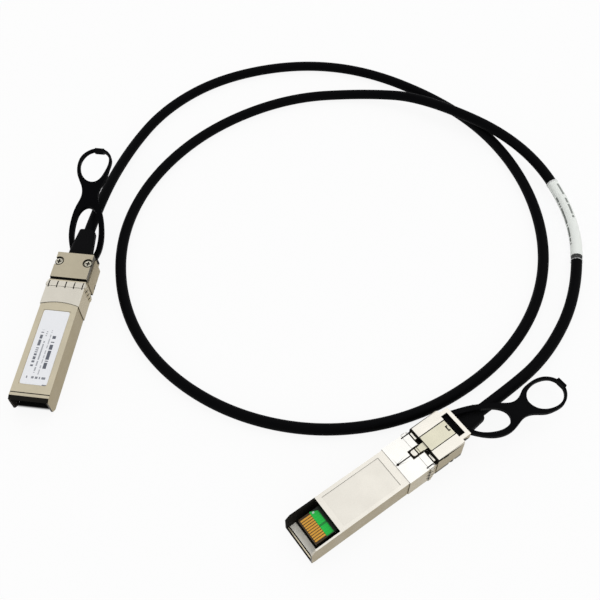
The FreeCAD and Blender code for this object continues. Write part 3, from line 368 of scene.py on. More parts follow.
# Tones of plated faces, partly their own colour and partly painted light and shade: the label and latch faces
# and the cover are lit and shaded copies, upright sides are darker, and front is for faces toward the nose
# and for shadow lines
nickel = {
    "latch": (0.72, 0.69, 0.625), "label": (0.65, 0.585, 0.44), "cover": (0.42, 0.375, 0.275),
    "side": (0.34, 0.28, 0.165), "front": (0.03, 0.025, 0.018),
}
sheet = {
    "latch": (0.72, 0.71, 0.68), "label": (0.77, 0.73, 0.64), "cover": (0.60, 0.56, 0.46),
    "side": (0.42, 0.36, 0.24), "front": (0.03, 0.025, 0.018),
}
sliderSheet = {**nickel, "latch": (0.58, 0.555, 0.435), "cover": (0.3, 0.27, 0.2)}

# Solder mask with tracks under it, bare board round the contacts and a silvery pad near the corner, with
# painted shadow where the card runs under the rim at the back of the opening and along the walls beside it
# Stripe and track give the middle, the half width and how dark
boardMarks = {
    "green": (0.007, 0.60, 0.065), "deep": (0.006, 0.16, 0.03), "bare": (0.05, 0.026, 0.005),
    "solder": (0.5, 0.75, 0.6), "shadow": (0.006, 0.012, 0.006),
    "stripe": (-0.6, 0.34, 0.75), "trackPitch": 0.9, "track": (0.45, 0.07, 0.3),
    "bareEnd": 7.3, "shadowStart": (9.5, 10.1), "shadowSide": (-4.0, -4.5),
    "shadowSlope": 0.45, "shadowCorner": (7.9, 8.1), "pad": ((8.3, 3.85), (0.35, 0.3)),
}


def boardTint(n):
    marks = boardMarks
    x, y = n.ownPlace()
    middle, half, dark = marks["stripe"]
    stripe = n.times(n.near(y, middle, half), dark)
    middle, half, dark = marks["track"]
    tracks = n.times(n.near(n.maths("PINGPONG", y, marks["trackPitch"]), middle, half), dark)
    colour = n.mix(n.largest(stripe, tracks), marks["green"], marks["deep"])
    slanted = n.maths("ADD", y, n.times(x, marks["shadowSlope"]))
    paintedShadow = n.largest(n.ramp(x, *marks["shadowStart"]), n.ramp(slanted, *marks["shadowCorner"]),
                        n.ramp(y, *marks["shadowSide"]))
    colour = n.mix(paintedShadow, colour, marks["shadow"])
    colour = n.mix(n.box(x, y, *marks["pad"]), colour, marks["solder"])
    return n.mix(n.maths("LESS_THAN", x, marks["bareEnd"]), colour, marks["bare"])


# Rows of dashes along one direction of a map, broken by chance at each step; no characters
# A row gives its middle and half width across, its start and end along, and how dark it is
def dashes(n, along, across, settings):
    step = n.maths("FLOOR", n.times(along, settings["perMillimetre"]))
    marks = []
    for middle, half, low, high, dark in settings["rows"]:
        chance = n.chance({"X": step, "Y": middle * settings["seed"]})
        row = n.box(across, along, (middle, (low + high) / 2), (half, (high - low) / 2))
        marks.append(n.times(n.maths("GREATER_THAN", chance, settings["gaps"]), dark, row))
    return n.largest(*marks)


# Paper with neutral grey dashes: columns along the plug, one short row across it and a corner mark
labelMarks = {
    "paper": (0.88, 0.89, 0.92), "ink": (0.07, 0.08, 0.11),
    "corner": ((5.9, 3.7), (0.25, 0.7)), "cornerShade": 0.8,
    "columns": {"perMillimetre": 2.6, "seed": 3.0, "gaps": 0.22, "rows": (
        (-2.5, 0.48, 12.4, 26.6, 0.9), (-0.95, 0.25, 10.1, 26.4, 0.6),
        (0.6, 0.2, 9.6, 26.8, 0.5), (1.95, 0.58, 11.4, 24.8, 0.95))},
    "row": {"perMillimetre": 2.3, "seed": 0.0, "gaps": 0.3, "rows": ((8.4, 0.42, -3.5, 3.5, 0.8),)},
}


def labelTint(n):
    x, y = n.ownPlace()
    corner = n.times(n.box(x, y, *labelMarks["corner"]), labelMarks["cornerShade"])
    marks = n.largest(dashes(n, x, y, labelMarks["columns"]), corner, dashes(n, y, x, labelMarks["row"]))
    return n.mix(marks, labelMarks["paper"], labelMarks["ink"])


# Wrapped paper with two rows of grey dashes along the cable, one near each edge of its seen half
wrapMarks = {
    "paper": (0.85, 0.88, 0.84), "ink": (0.10, 0.115, 0.10),
    "lengthways": {"perMillimetre": 1.7, "seed": 30.0, "gaps": 0.2, "rows": (
        (0.3, 0.036, -13.5, 3.0, 0.85), (0.045, 0.036, -8.2, 14.9, 0.95))},
}


def wrapTint(n):
    along, around = n.ownPlace()
    return n.mix(dashes(n, along, around, wrapMarks["lengthways"]), wrapMarks["paper"], wrapMarks["ink"])


# Screw heads: painted shadow at the rim and in the cross recess
screwMarks = {
    "steel": (0.60, 0.57, 0.47), "shadow": (0.02, 0.018, 0.014), "cross": (0.26, 0.87), "rim": (1.15, 1.35),
    "rimShade": 0.95,
}


def screwTint(n):
    x, y = n.ownPlace()
    along = n.maths("ABSOLUTE", n.maths("SUBTRACT", x, screwPlace[0]))
    across = n.maths("ABSOLUTE", n.maths("SUBTRACT", n.maths("ABSOLUTE", y), screwPlace[1]))
    span = n.node("ShaderNodeCombineXYZ", {"X": along, "Y": across}).outputs["Vector"]
    reach = n.node("ShaderNodeVectorMath", {0: span}, operation="LENGTH").outputs["Value"]
    crossHalf, crossReach = screwMarks["cross"]
    narrow = n.maths("LESS_THAN", n.maths("MINIMUM", along, across), crossHalf)
    cross = n.times(narrow, n.maths("LESS_THAN", n.largest(along, across), crossReach))
    rim = n.times(n.ramp(reach, *screwMarks["rim"]), screwMarks["rimShade"])
    return n.mix(n.largest(rim, cross), screwMarks["steel"], screwMarks["shadow"])


# What a finish has where it gives nothing else
usualFinish = {"metallic": 0.0, "specular": 0.5, "grainSize": 0.3, "grain": 0.1, "patches": 0.2}
finishSettings = {
    "case": {"tint": castPaintedShadeTint(nickel, caseLines), "worn": (0.95, 0.92, 0.82), "rough": 0.38, "metallic": 0.85,
             "grainSize": 0.35, "patches": 0.16},
    # Dark: near black, painted shade for faces in the card opening, grooves, seams, slots and other hollows
    "dark": {"color": (0.010, 0.009, 0.007), "worn": (0.04, 0.035, 0.025), "rough": 0.75, "metallic": 0.2,
             "specular": 0.1, "grain": 0.2, "patches": 0.3},
    # Painted light: a light cream plain finish that stands in for the lit floor just inside the nose
    "paintedLight": {"color": (0.97, 0.94, 0.85), "worn": (0.6, 0.58, 0.5), "rough": 0.5, "patches": 0.15},
    "spring": {"tint": castPaintedShadeTint(sheet, collarLines), "worn": (1.0, 0.98, 0.92), "rough": 0.30,
               "metallic": 0.9, "grainSize": 0.4, "grain": 0.06, "patches": 0.10},
    "slider": {"tint": castPaintedShadeTint(sliderSheet, sliderLines), "worn": (0.95, 0.92, 0.82), "rough": 0.36,
               "metallic": 0.85, "patches": 0.12},
    "board": {"tint": boardTint, "worn": (0.30, 0.36, 0.18), "rough": 0.45, "specular": 0.3,
              "grainSize": 0.25, "grain": 0.12},
    "gold": {"color": (0.50, 0.255, 0.045), "worn": (0.95, 0.68, 0.25), "rough": 0.33, "metallic": 1.0,
             "grainSize": 0.15, "grain": 0.2, "patches": 0.4},
    "chip": {"color": (0.02, 0.02, 0.022), "worn": (0.05, 0.05, 0.05), "rough": 0.55, "grainSize": 0.12,
             "grain": 0.3},
    "capacitor": {"color": (0.36, 0.25, 0.15), "worn": (0.7, 0.7, 0.68), "rough": 0.5, "grainSize": 0.15,
                  "grain": 0.2},
    "core": {"color": (0.78, 0.77, 0.74), "worn": (0.85, 0.85, 0.82), "rough": 0.45},
    "ferrule": {"color": (0.68, 0.55, 0.32), "worn": (0.9, 0.8, 0.55), "rough": 0.35, "metallic": 1.0,
                "grain": 0.2},
    "boot": {"color": (0.004, 0.004, 0.0045), "worn": (0.015, 0.015, 0.015), "rough": 0.55, "specular": 0.03,
             "grainSize": 0.45, "grain": 0.35, "patches": 0.4},
    "jacket": {"color": (0.002, 0.002, 0.0025), "worn": (0.02, 0.02, 0.02), "rough": 0.5, "specular": 0.025,
               "grainSize": 0.6, "grain": 0.25, "patches": 0.5},
    "tab": {"color": (0.002, 0.002, 0.0025), "worn": (0.015, 0.015, 0.015), "rough": 0.5, "specular": 0.025,
            "grainSize": 0.35, "grain": 0.3, "patches": 0.4},
    "screw": {"tint": screwTint, "worn": (0.9, 0.88, 0.8), "rough": 0.3, "metallic": 1.0, "grain": 0.15},
    "label": {"tint": labelTint, "worn": (0.8, 0.8, 0.78), "rough": 0.5, "grainSize": 0.2, "grain": 0.05,
              "patches": 0.05},
    "wrap": {"tint": wrapTint, "worn": (0.8, 0.8, 0.8), "rough": 0.5, "grain": 0.06, "patches": 0.08},
}


def newMaterial(name):
    material = bpy.data.materials.new(name)
    material.use_nodes = True
    return material, Shading(material.node_tree)


def makeFinish(name, own):
    material, n = newMaterial(name + "Finish")
    settings = {**usualFinish, **own}
    group = n.node("ShaderNodeGroup", node_tree=surfaceGroup)
    chosen = {
        "Color": settings["tint"](n) if "tint" in settings else settings["color"],
        "Worn Color": settings["worn"],
        "Roughness": settings["rough"],
        "Grain Size": settings["grainSize"],
        "Grain": settings["grain"],
        "Patches": settings["patches"],
    }
    for key, value in chosen.items():
        n.feed(group.inputs[key], value)
    shader = n.tree.nodes["Principled BSDF"]
    n.feed(shader.inputs["Base Color"], group.outputs["Color"])
    n.feed(shader.inputs["Roughness"], group.outputs["Roughness"])
    n.feed(shader.inputs["Normal"], group.outputs["Normal"])
    shader.inputs["Metallic"].default_value = settings["metallic"]
    shader.inputs["Specular IOR Level"].default_value = settings["specular"]
    return material


# Clear film that shows most at its two rims, where the white is a painted highlight on its cut ends
clearSettings = {
    "color": (0.93, 0.94, 0.93, 1), "rough": 0.16, "rim": (0.6, 0.9), "alpha": (0.03, 0.5),
    "ripplesPerMetre": 420.0, "ripple": 0.25, "rippleHeight": 0.08,
}


def makeClearFinish(settings):
    material, n = newMaterial("clearFinish")
    shader = n.tree.nodes["Principled BSDF"]
    ripple = n.noise(n.place(), settings["ripplesPerMetre"])
    relief = {"Strength": settings["ripple"], "Distance": settings["rippleHeight"] * mm, "Height": ripple}
    n.feed(shader.inputs["Normal"], n.node("ShaderNodeBump", relief).outputs["Normal"])
    shader.inputs["Base Color"].default_value = settings["color"]
    shader.inputs["Roughness"].default_value = settings["rough"]
    n.feed(shader.inputs["Alpha"], n.ramp(n.attribute("rim"), *settings["rim"], *settings["alpha"]))
    return material


finishes = {name: makeFinish(name, settings) for name, settings in finishSettings.items()}
finishes["clear"] = makeClearFinish(clearSettings)
print("finishes ready")

# Lengths in millimetres, angles in degrees
meshSettings = {"merge": 0.0005, "cut": 0.0001, "flatBelow": 0.5, "sharpFrom": 25, "smoothTo": 35}


# A copy of the node's mesh in its plug's own millimetres, merged and freed of needless edges
def ownMesh(node):
    own = bmesh.new()
    own.from_mesh(nodes[node].data)
    own.transform(Matrix.Scale(1 / mm, 4) @ plugs[node[-1]].inverted())
    bmesh.ops.remove_doubles(own, verts=own.verts, dist=meshSettings["merge"])
    bmesh.ops.dissolve_degenerate(own, dist=meshSettings["merge"], edges=own.edges)
    own.normal_update()
    return own


def cutAcross(own, places):
    for place in places:
        everything = own.verts[:] + own.edges[:] + own.faces[:]
        plane = {"plane_co": (place, 0, 0), "plane_no": (1, 0, 0)}
        bmesh.ops.bisect_plane(own, geom=everything, dist=meshSettings["cut"], **plane)
    own.normal_update()


# What a region can ask of a face: where its middle lies, and how much it faces the nose, up or inward
def faceMeasures(face):
    at, normal = face.calc_center_median(), face.normal
    return {
        "x": at.x, "y": at.y, "z": at.z, "side": abs(at.y),
        "nose": -normal.x, "endways": abs(normal.x), "up": normal.z, "level": abs(normal.z),
        "inward": -normal.y if at.y > 0 else normal.y,
    }


# A region holds a range for some of these; None leaves an end open
def inRegion(measures, region):
    for name, (low, high) in region.items():
        value = measures[name]
        if (low is not None and value <= low) or (high is not None and value >= high):
            return False
    return True


def paint(own, regions, index):
    for face in own.faces:
        measures = faceMeasures(face)
        if any(inRegion(measures, region) for region in regions):
            face.material_index = index


# Rounds the sharp edges and returns the faces that this makes
def roundEdges(own, bevel, segments):
    sharpFrom = math.radians(meshSettings["sharpFrom"])
    sharp = [edge for edge in own.edges if len(edge.link_faces) == 2 and edge.calc_face_angle() > sharpFrom]
    shape = {"offset": bevel, "segments": segments, "profile": 0.5, "affect": "EDGES", "clamp_overlap": True}
    return set(bmesh.ops.bevel(own, geom=sharp, **shape)["faces"])


# Marks worn edges and the latch side, maps the piece and makes the object that stands for the node
def finishPiece(own, plug, settings):
    joined = {"angle_limit": math.radians(meshSettings["flatBelow"]), "delimit": {"MATERIAL"}}
    bmesh.ops.dissolve_limit(own, verts=own.verts, edges=own.edges, **joined)
    rounded = roundEdges(own, settings["bevel"], settings["segments"]) if "bevel" in settings else ()
    edgeLayer = own.faces.layers.float.new("edge")
    latchLayer = own.faces.layers.float.new("latchSide")
    uvLayer = own.loops.layers.uv.new("own")
    for face in own.faces:
        face.smooth = True
        face[edgeLayer] = 1.0 if face in rounded else 0.0
        face[latchLayer] = 1.0 if face.calc_center_median().z > bodyHeight / 2 else 0.0
        for loop in face.loops:
            loop[uvLayer].uv = (loop.vert.co.x, loop.vert.co.y)
    bmesh.ops.triangulate(own, faces=[face for face in own.faces if len(face.verts) > 4])
    own.transform(plugs[plug] @ Matrix.Scale(mm, 4))
    name = f"{settings['name']}_{plug}"
    mesh = bpy.data.meshes.new(name)
    own.to_mesh(mesh)
    own.free()
    mesh.set_sharp_from_angle(angle=math.radians(meshSettings["smoothTo"]))
    for finish in settings["finishes"]:
        mesh.materials.append(finishes[finish])
    piece = link(bpy.data.objects.new(name, mesh))
    piece.modifiers.new("weights", "WEIGHTED_NORMAL").keep_sharp = True
    body = f"slider_{plug}" if settings.get("slides") else "cable_and_plugs"
    return declare(piece, body, settings["slot"], f"{settings['node']}_{plug}")


# One piece of a plug: its dark regions get the second finish, painted shade, and its lit regions the third,
# painted light
def dressPiece(plug, settings):
    own = ownMesh(f"{settings['node']}_{plug}")
    cutAcross(own, settings.get("cuts", ()))
    onThisPlug = settings.get("darkOn", {}).get(plug, {})
    paint(own, [*settings.get("dark", {}).values(), *onThisPlug.values()], 1)
    paint(own, settings.get("paintedLight", {}).values(), 2)
    return finishPiece(own, plug, settings)


# Latch-side casting: painted shade in the dark finish on the card opening, the collar's seat, the grooves,
# the slider's channel and other hollows, steps and ends
collarGroove = {"x": (46.79, 48.02), "z": (bodyHeight - 0.7, bodyHeight - 0.01)}
lowerSettings = {
    "name": "latch_housing", "node": "lower_shell", "slot": "plated_zinc",
    "finishes": ("case", "dark"), "bevel": 0.1, "segments": 2,
    "cuts": (openingEnd, *collarSeat),
    "dark": {
        "openingSides": {"x": (None, openingEnd + 0.05), "side": (None, 6.21),
                         "z": (plateInside + 0.01, bodyHeight - 0.01), "inward": (0.5, None)},
        "openingEnd": {"x": (openingEnd - 0.05, openingEnd + 0.05), "side": (None, 6.21),
                       "z": (plateInside + 0.01, bodyHeight - 0.01)},
        "panelStep": {"x": (12.5, 34.3), "z": (bodyHeight - 0.119, bodyHeight - 0.001)},
        "bossSides": {"x": (42.9, 45.0), "side": (None, 1.25), "z": (bodyHeight, bodyHeight + 0.49),
                      "level": (None, 0.5)},
        "seatSides": {"x": collarSeat, "side": (halfWidth - 0.02, halfWidth + 0.02)},
        "seatTop": {"x": collarSeat, "z": (bodyHeight - 0.02, bodyHeight + 0.02)},
        "grooveFloor": {**collarGroove, "up": (0.5, None)},
        "grooveWalls": {**collarGroove, "endways": (0.5, None)},
        "boxFront": {"x": (47.9, 48.45), "z": (bodyHeight - 0.1, None), "nose": (0.3, None)},
        "channel": {"x": (48.0, None), "side": (None, 5.1), "z": (6.9, 9.69)},
        "notches": {"x": (50.1, 52.3), "side": (6.3, 6.88)},
        "inside": {"x": (openingEnd, None), "side": (None, 5.95), "z": (plateInside, 7.6)},
    },
    "darkOn": {
        "a": {"farNoseEnd": {"x": (None, 1.6), "y": (None, 0.0), "nose": (0.5, None)}},
        "b": {"farNoseEnd": {"x": (None, 1.6), "y": (0.0, None), "nose": (0.5, None)},
              "farRim": {"x": (None, openingEnd), "y": (6.05, None), "z": (bodyHeight - 0.01, None)}},
    },
}

# Label-side casting: painted shade in the dark finish on the lip, the grooves, the collar's seat, the screw
# wells and most of the floor, and painted light on the floor just inside the nose
litFloor, archEnd = 3.4, 38.2
upperSettings = {
    "name": "label_housing", "node": "upper_shell", "slot": "plated_zinc",
    "finishes": ("case", "dark", "paintedLight"), "bevel": 0.08, "segments": 2,
    "cuts": (litFloor, collarSeat[0], archEnd, collarSeat[1]),
    "dark": {
        "lipEnd": {"x": (None, 1.45), "z": (None, 0.56), "nose": (0.2, None)},
        "lipEdge": {"x": (None, 0.46), "nose": (0.2, None)},
        "lipGroove": {"x": (0.79, 1.21), "z": (0.6, plateInside - 0.001)},
        "noseGroove": {"x": (2.39, 2.76), "z": (0.001, 0.21)},
        "floor": {"x": (litFloor, collarSeat[1]), "z": (plateInside - 0.01, None), "up": (0.5, None)},
        "seatFace": {"x": (archEnd, collarSeat[1]), "z": (-0.02, 0.02)},
        "seatSides": {"x": collarSeat, "side": (halfWidth - 0.02, halfWidth + 0.02)},
        "coverStep": {"x": (47.35, 48.32), "side": (None, halfWidth + 0.01), "z": (-0.39, 0.9)},
        "screwWells": {"x": (53.2, 57.1), "side": (3.4, 6.4), "z": (-0.39, 0.54)},
        "inside": {"x": (48.2, 58.9), "side": (None, 5.9), "z": (0.7, None)},
    },
    "paintedLight": {
        "noseFloor": {"x": (1.2, litFloor), "z": (plateInside - 0.01, None), "up": (0.5, None)},
    },
}

# Spring collar: only the walls of its slots, seam and hole take the dark finish, painted shade
collarSettings = {
    "name": "finger_collar", "node": "emi_collar", "slot": "spring_sheet", "finishes": ("spring", "dark"),
    "bevel": 0.04, "segments": 1,
    "dark": {
        "slotsAcross": {"x": (37.0, 46.7), "side": (None, 6.6), "z": (-0.21, bodyHeight + 0.21),
                        "level": (None, 0.3)},
        "slotsBeside": {"side": (halfWidth, None), "z": (0.1, bodyHeight - 0.1), "level": (0.9, None)},
    },
}
# Release slider: its hook and underside take the dark finish, painted shade
sliderSettings = {
    "name": "release_slider", "node": "latch_slider", "slot": "spring_sheet", "finishes": ("slider", "dark"),
    "slides": True, "bevel": 0.05, "segments": 2,
    "dark": {
        "hook": {"x": (55.8, 58.45), "side": (None, 1.3), "level": (None, 0.5)},
        "underside": {"up": (None, -0.5)},
    },
}

# Springs behind the slider's tang
springSettings = {
    "name": "return_springs", "node": "slider_springs", "slot": "spring_sheet", "finishes": ("spring",),
    "stop": 52.6, "height": 8.0, "keep": 0.36,
}
cardSettings = {
    "name": "edge_card", "node": "paddle_card", "slot": "green_board", "finishes": ("board",),
    "bevel": 0.03, "segments": 1,
}
bootSettings = {
    "name": "boot", "node": "strain_relief_boot", "slot": "boot_black", "finishes": ("boot",),
    "bevel": 0.25, "segments": 3,
}
screwSettings = {
    "name": "screws", "node": "cover_screws", "slot": "screw_steel", "finishes": ("screw",),
    "bevel": 0.04, "segments": 1,
}
tabSettings = {
    "name": "release_tab", "node": "pull_tab", "slot": "tab_black", "finishes": ("tab",),
    "slides": True, "bevel": 0.3, "segments": 3,
}
faceLabelSettings = {
    "name": "face_label", "node": "plug_label", "slot": "label_white", "finishes": ("label",),
}


def shortenSprings(coils):
    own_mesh(coils)


for plug in plugs:
    for settings in (lowerSettings, upperSettings, collarSettings, sliderSettings):
        dressPiece(plug, settings)
    shortenSprings(dressPiece(plug, springSettings))
    for settings in (cardSettings, bootSettings, screwSettings, tabSettings):
        dressPiece(plug, settings)
dressPiece("a", faceLabelSettings)
print("plugs ready")

# Solids that keep their shape and take a better finish
hiddenSolids = {
    "memory_chip": "chip", "capacitors": "capacitor", "core_wires": "core", "crimp_ferrule": "ferrule",
}
for plug in plugs:
    for node, finish in hiddenSolids.items():
        for holder in nodes[f"{node}_{plug}"].material_slots:
            holder.material = finishes[finish]

# Edge contacts: round-ended gold strips repeated across both faces of the card
contactSettings = {
    "Count": 10, "Pitch": 0.8, "Length": 3.75, "Width": 0.57, "Thick": 0.05, "Start": 3.48, "Top": 6.25,
    "Bottom": 5.2, "Round": 0.12,
}
contactMerge, cornerPoints = 0.001, 3


def makeContactTree(settings):
    tree = bpy.data.node_groups.new("edgeContacts", "GeometryNodeTree")
    tree.interface.new_socket("Contacts", in_out="OUTPUT", socket_type="NodeSocketGeometry")
    for name, value in settings.items():
        kind = "NodeSocketInt" if isinstance(value, int) else "NodeSocketFloat"
        tree.interface.new_socket(name, in_out="INPUT", socket_type=kind)
    tree.interface.new_socket("Finish", in_out="INPUT", socket_type="NodeSocketMaterial")
    n = Shading(tree)
    chosen = n.node("NodeGroupInput").outputs
    size = {"Width": chosen["Length"], "Height": chosen["Width"]}
    outline = n.node("GeometryNodeCurvePrimitiveQuadrilateral", size).outputs["Curve"]
    rounding = {"Curve": outline, "Count": cornerPoints, "Radius": chosen["Round"]}
    rounded = n.node("GeometryNodeFilletCurve", rounding, mode="POLY").outputs["Curve"]
    flat = n.node("GeometryNodeFillCurve", {"Curve": rounded}, mode="NGONS").outputs["Mesh"]
    lift = {"Mesh": flat, "Offset Scale": chosen["Thick"], "Individual": False}
    strip = n.node("GeometryNodeJoinGeometry")
    n.feed(strip.inputs[0], n.node("GeometryNodeExtrudeMesh", lift).outputs["Mesh"])
    n.feed(strip.inputs[0], n.node("GeometryNodeFlipFaces", {"Mesh": flat}).outputs["Mesh"])
    closed = {"Geometry": strip.outputs[0], "Distance": contactMerge}
    strip = n.node("GeometryNodeMergeByDistance", closed).outputs["Geometry"]
    first = n.times(n.maths("SUBTRACT", chosen["Count"], 1.0), chosen["Pitch"], -0.5)
    middle = n.maths("ADD", chosen["Start"], n.times(chosen["Length"], 0.5))
    step = n.node("ShaderNodeCombineXYZ", {"Y": chosen["Pitch"]}).outputs["Vector"]
    both = n.node("GeometryNodeJoinGeometry")
    for level in ("Top", "Bottom"):
        start = n.node("ShaderNodeCombineXYZ", {"X": middle, "Y": first, "Z": chosen[level]})
        line = {"Count": chosen["Count"], "Start Location": start.outputs["Vector"], "Offset": step}
        row = n.node("GeometryNodeMeshLine", line).outputs["Mesh"]
        placed = n.node("GeometryNodeInstanceOnPoints", {"Points": row, "Instance": strip})
        n.feed(both.inputs[0], placed.outputs["Instances"])
    whole = n.node("GeometryNodeRealizeInstances", {"Geometry": both.outputs[0]}).outputs["Geometry"]
    painted = n.node("GeometryNodeSetMaterial", {"Geometry": whole, "Material": chosen["Finish"]})
    n.node("NodeGroupOutput", {"Contacts": painted.outputs["Geometry"]})
    return tree


contactTree = makeContactTree(contactSettings)


def makeContacts(plug, settings):
    blank = link(bpy.data.objects.new("contacts_only", bpy.data.meshes.new("contacts_only")))
    strips = blank.modifiers.new("contacts", "NODES")
    strips.node_group = contactTree
    for item in contactTree.interface.items_tree:
        if item.in_out == "INPUT":
            strips[item.identifier] = finishes["gold"] if item.name == "Finish" else settings[item.name]
    bpy.context.view_layer.update()
    mesh = bpy.data.meshes.new_from_object(blank.evaluated_get(bpy.context.evaluated_depsgraph_get()))
    bpy.data.objects.remove(blank)
    mesh.name = f"edge_contacts_{plug}"
    mesh.transform(plugs[plug] @ Matrix.Scale(mm, 4))
    contacts = link(bpy.data.objects.new(mesh.name, mesh))
    declare(contacts, "cable_and_plugs", "gold_contact", f"contact_pads_{plug}")


for plug in plugs:
    makeContacts(plug, contactSettings)
print("contacts ready")

# White label and clear sleeve round the cable; corner is the number of the route's point between their ends
wrapSettings = {
    "corner": 23,
    "sides": 40,
    "smoothTo": 40,
    "tubes": (
        {"name": "wrap_label", "node": "cable_label", "slot": "label_white", "finish": "wrap",
         "reach": (15.3, 20.0), "outer": 2.14, "inner": 2.02},
        {"name": "wrap_sleeve", "node": "label_sleeve", "slot": "clear_sleeve", "finish": "clear",
         "reach": (15.7, 22.3), "outer": 2.3, "inner": 2.17},
    ),
}


# The stretch of the cable's line that reaches so far before and after the point nearest to middle
def stretchAround(path, middle, reach):
    nearest = min(range(len(path)), key=lambda index: (path[index] - middle).length)
    sides = []
    for step, length in zip((-1, 1), reach):
        run, index, side = 0.0, nearest, []
        while run < length * mm:
            hop = (path[index + step] - path[index]).length
            share = min((length * mm - run) / hop, 1.0)
            run += hop
            side.append((path[index].lerp(path[index + step], share), step * min(run / mm, length)))
            index += step
        sides.append(side)
    return sides[0][::-1] + [(path[nearest], 0.0)] + sides[1]


# Tube with a wall along such a stretch
# Its map holds the distance along and the share of a turn, and rim marks both ends
def makeTube(name, stretch, outer, inner, settings):
    own = bmesh.new()
    uvLayer = own.loops.layers.uv.new("own")
    rim = own.verts.layers.float.new("rim")
    sides, last = settings["sides"], len(stretch) - 1
    turns = [math.tau * side / sides for side in range(sides)]
    rings = []
    for index, (point, run) in enumerate(stretch):
        along = (stretch[min(index + 1, last)][0] - stretch[max(index - 1, 0)][0]).normalized()
        level = along.cross(Vector((0, 0, 1))).normalized()
        rise = level.cross(along)
        for radius in (outer, inner):
            spokes = [(level * math.cos(turn) + rise * math.sin(turn)) * radius * mm for turn in turns]
            ring = [own.verts.new(point + spoke) for spoke in spokes]
            for vertex in ring:
                vertex[rim] = 1.0 if index in (0, last) else 0.0
            rings.append((ring, run))
    skin = rings[0::2] + rings[1::2][::-1] + [rings[0]]
    for (first, start), (second, end) in zip(skin, skin[1:]):
        for side in range(sides):
            following = (side + 1) % sides
            face = own.faces.new((first[side], first[following], second[following], second[side]))
            face.smooth = True
            places = ((start, side), (start, side + 1), (end, side + 1), (end, side))
            for loop, (run, turn) in zip(face.loops, places):
                loop[uvLayer].uv = (run, turn / sides)
    bmesh.ops.recalc_face_normals(own, faces=own.faces)
    mesh = bpy.data.meshes.new(name)
    own.to_mesh(mesh)
    own.free()
    mesh.set_sharp_from_angle(angle=math.radians(settings["smoothTo"]))
    return link(bpy.data.objects.new(name, mesh))


def dressCableLabel(settings):
    middle = Vector(cableSettings["route"][settings["corner"]]) * mm
    made = []
    for tube in settings["tubes"]:
        stretch = stretchAround(cordPath, middle, tube["reach"])
        piece = makeTube(tube["name"], stretch, tube["outer"], tube["inner"], settings)
        piece.data.materials.append(finishes[tube["finish"]])
        made.append(declare(piece, "cable_and_plugs", tube["slot"], tube["node"]))
    return made


onCable = dressCableLabel(wrapSettings)
cord.data.materials.append(finishes["jacket"])
print("labels ready")

# Floor: white to the camera and to reflections, keeping a faint shadow, with painted shade where a plug
# covers it
stageSettings = {
    "half": 3000, "level": -0.2, "white": (0.9, 0.9, 0.9), "shade": (0.01, 0.01, 0.01), "glow": 0.9,
    "shadeStart": 1.2, "shadeFade": 1.0, "shadeEnd": 47.0, "shadeSide": 6.2,
}


# Painted shade on the ground under one plug, as seen through its nose opening
def paintedShadeUnderPlug(n, plug, settings):
    x, y = plugSettings[plug]["place"]
    turn = math.radians(plugSettings[plug]["turn"])
    frameOfPlug = {"Vector": n.place(), "Location": (x * mm, y * mm, 0), "Rotation": (0, 0, turn),
                   "Scale": (mm, mm, mm)}
    mapped = n.node("ShaderNodeMapping", frameOfPlug, vector_type="TEXTURE").outputs["Vector"]
    along, across = n.parts(mapped)[:2]
    start = settings["shadeStart"]
    begins = n.ramp(along, start, start + settings["shadeFade"])
    ends = n.maths("LESS_THAN", along, settings["shadeEnd"])
    beside = n.maths("LESS_THAN", n.maths("ABSOLUTE", across), settings["shadeSide"])
    return n.times(begins, ends, beside)


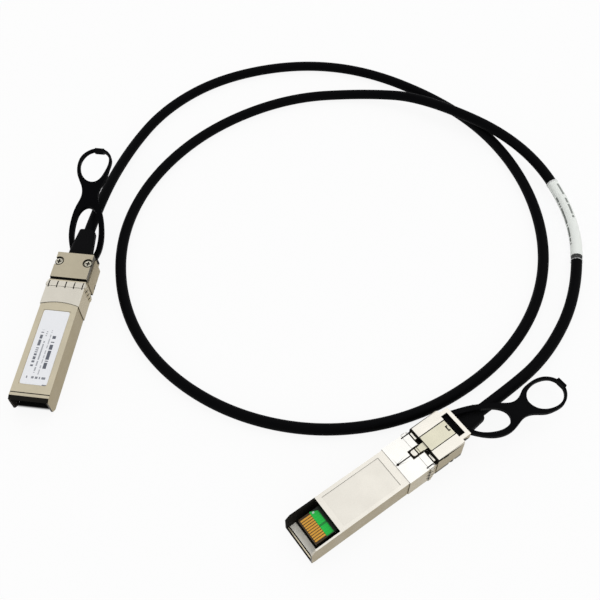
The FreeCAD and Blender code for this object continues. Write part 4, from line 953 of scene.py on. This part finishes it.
def makeFloor(settings):
    material, n = newMaterial("paleFloor")
    n.tree.nodes.remove(n.tree.nodes["Principled BSDF"])
    path = n.node("ShaderNodeLightPath").outputs
    seen = n.largest(path["Is Camera Ray"], path["Is Glossy Ray"], path["Is Transmission Ray"])
    paintedShadow = n.largest(paintedShadeUnderPlug(n, "a", settings), paintedShadeUnderPlug(n, "b", settings))
    share = n.times(seen, settings["glow"], n.opposite(paintedShadow))
    ground = n.mix(paintedShadow, settings["white"], settings["shade"])
    plain = n.node("ShaderNodeBsdfDiffuse", {"Color": ground}).outputs["BSDF"]
    glow = n.node("ShaderNodeEmission", {"Color": (1.0, 1.0, 1.0), "Strength": 1.0}).outputs["Emission"]
    mixed = n.node("ShaderNodeMixShader", {0: share, 1: plain, 2: glow}).outputs["Shader"]
    n.feed(n.tree.nodes["Material Output"].inputs["Surface"], mixed)
    half, level = settings["half"] * mm, settings["level"] * mm
    corners = [(-half, -half, level), (half, -half, level), (half, half, level), (-half, half, level)]
    mesh = bpy.data.meshes.new("floor")
    mesh.from_pydata(corners, [], [(0, 1, 2, 3)])
    mesh.materials.append(material)
    link(bpy.data.objects.new("floor", mesh))


makeFloor(stageSettings)

# Studio: white at the horizon, a duller ceiling, and one broad soft light overhead
studioSettings = {
    "aim": (0.25, 0.33, 0.91), "light": 1.3, "edge": 0.86, "core": 0.97,
    "ceiling": 0.76, "horizon": 0.95, "dome": (0.15, 0.6),
}
lampSettings = {"place": (300, 250, 800), "size": 500, "power": 0.35}


def makeStudio(settings):
    world = bpy.data.worlds.new("studio")
    bpy.context.scene.world = world
    world.use_nodes = True
    n = Shading(world.node_tree)
    toward = n.node("ShaderNodeTexCoord").outputs["Generated"]
    near = n.dot(toward, Vector(settings["aim"]).normalized())
    dome = n.ramp(n.parts(toward)["Z"], *settings["dome"], settings["horizon"], settings["ceiling"])
    light = n.ramp(near, settings["edge"], settings["core"], 0.0, settings["light"] - settings["ceiling"])
    background = n.tree.nodes["Background"]
    background.inputs["Color"].default_value = (1, 1, 1, 1)
    n.feed(background.inputs["Strength"], n.maths("ADD", dome, light))


def makeLamp(settings):
    data = bpy.data.lights.new("keyLight", "AREA")
    data.size = settings["size"] * mm
    data.energy = settings["power"]
    lamp = link(bpy.data.objects.new("keyLight", data))
    lamp.location = Vector(settings["place"]) * mm
    lamp.rotation_euler = (-lamp.location).to_track_quat("-Z", "Y").to_euler()


makeStudio(studioSettings)
makeLamp(lampSettings)
bpy.context.scene.view_settings.view_transform = "Standard"
print("studio ready")

bpy.context.view_layer.update()
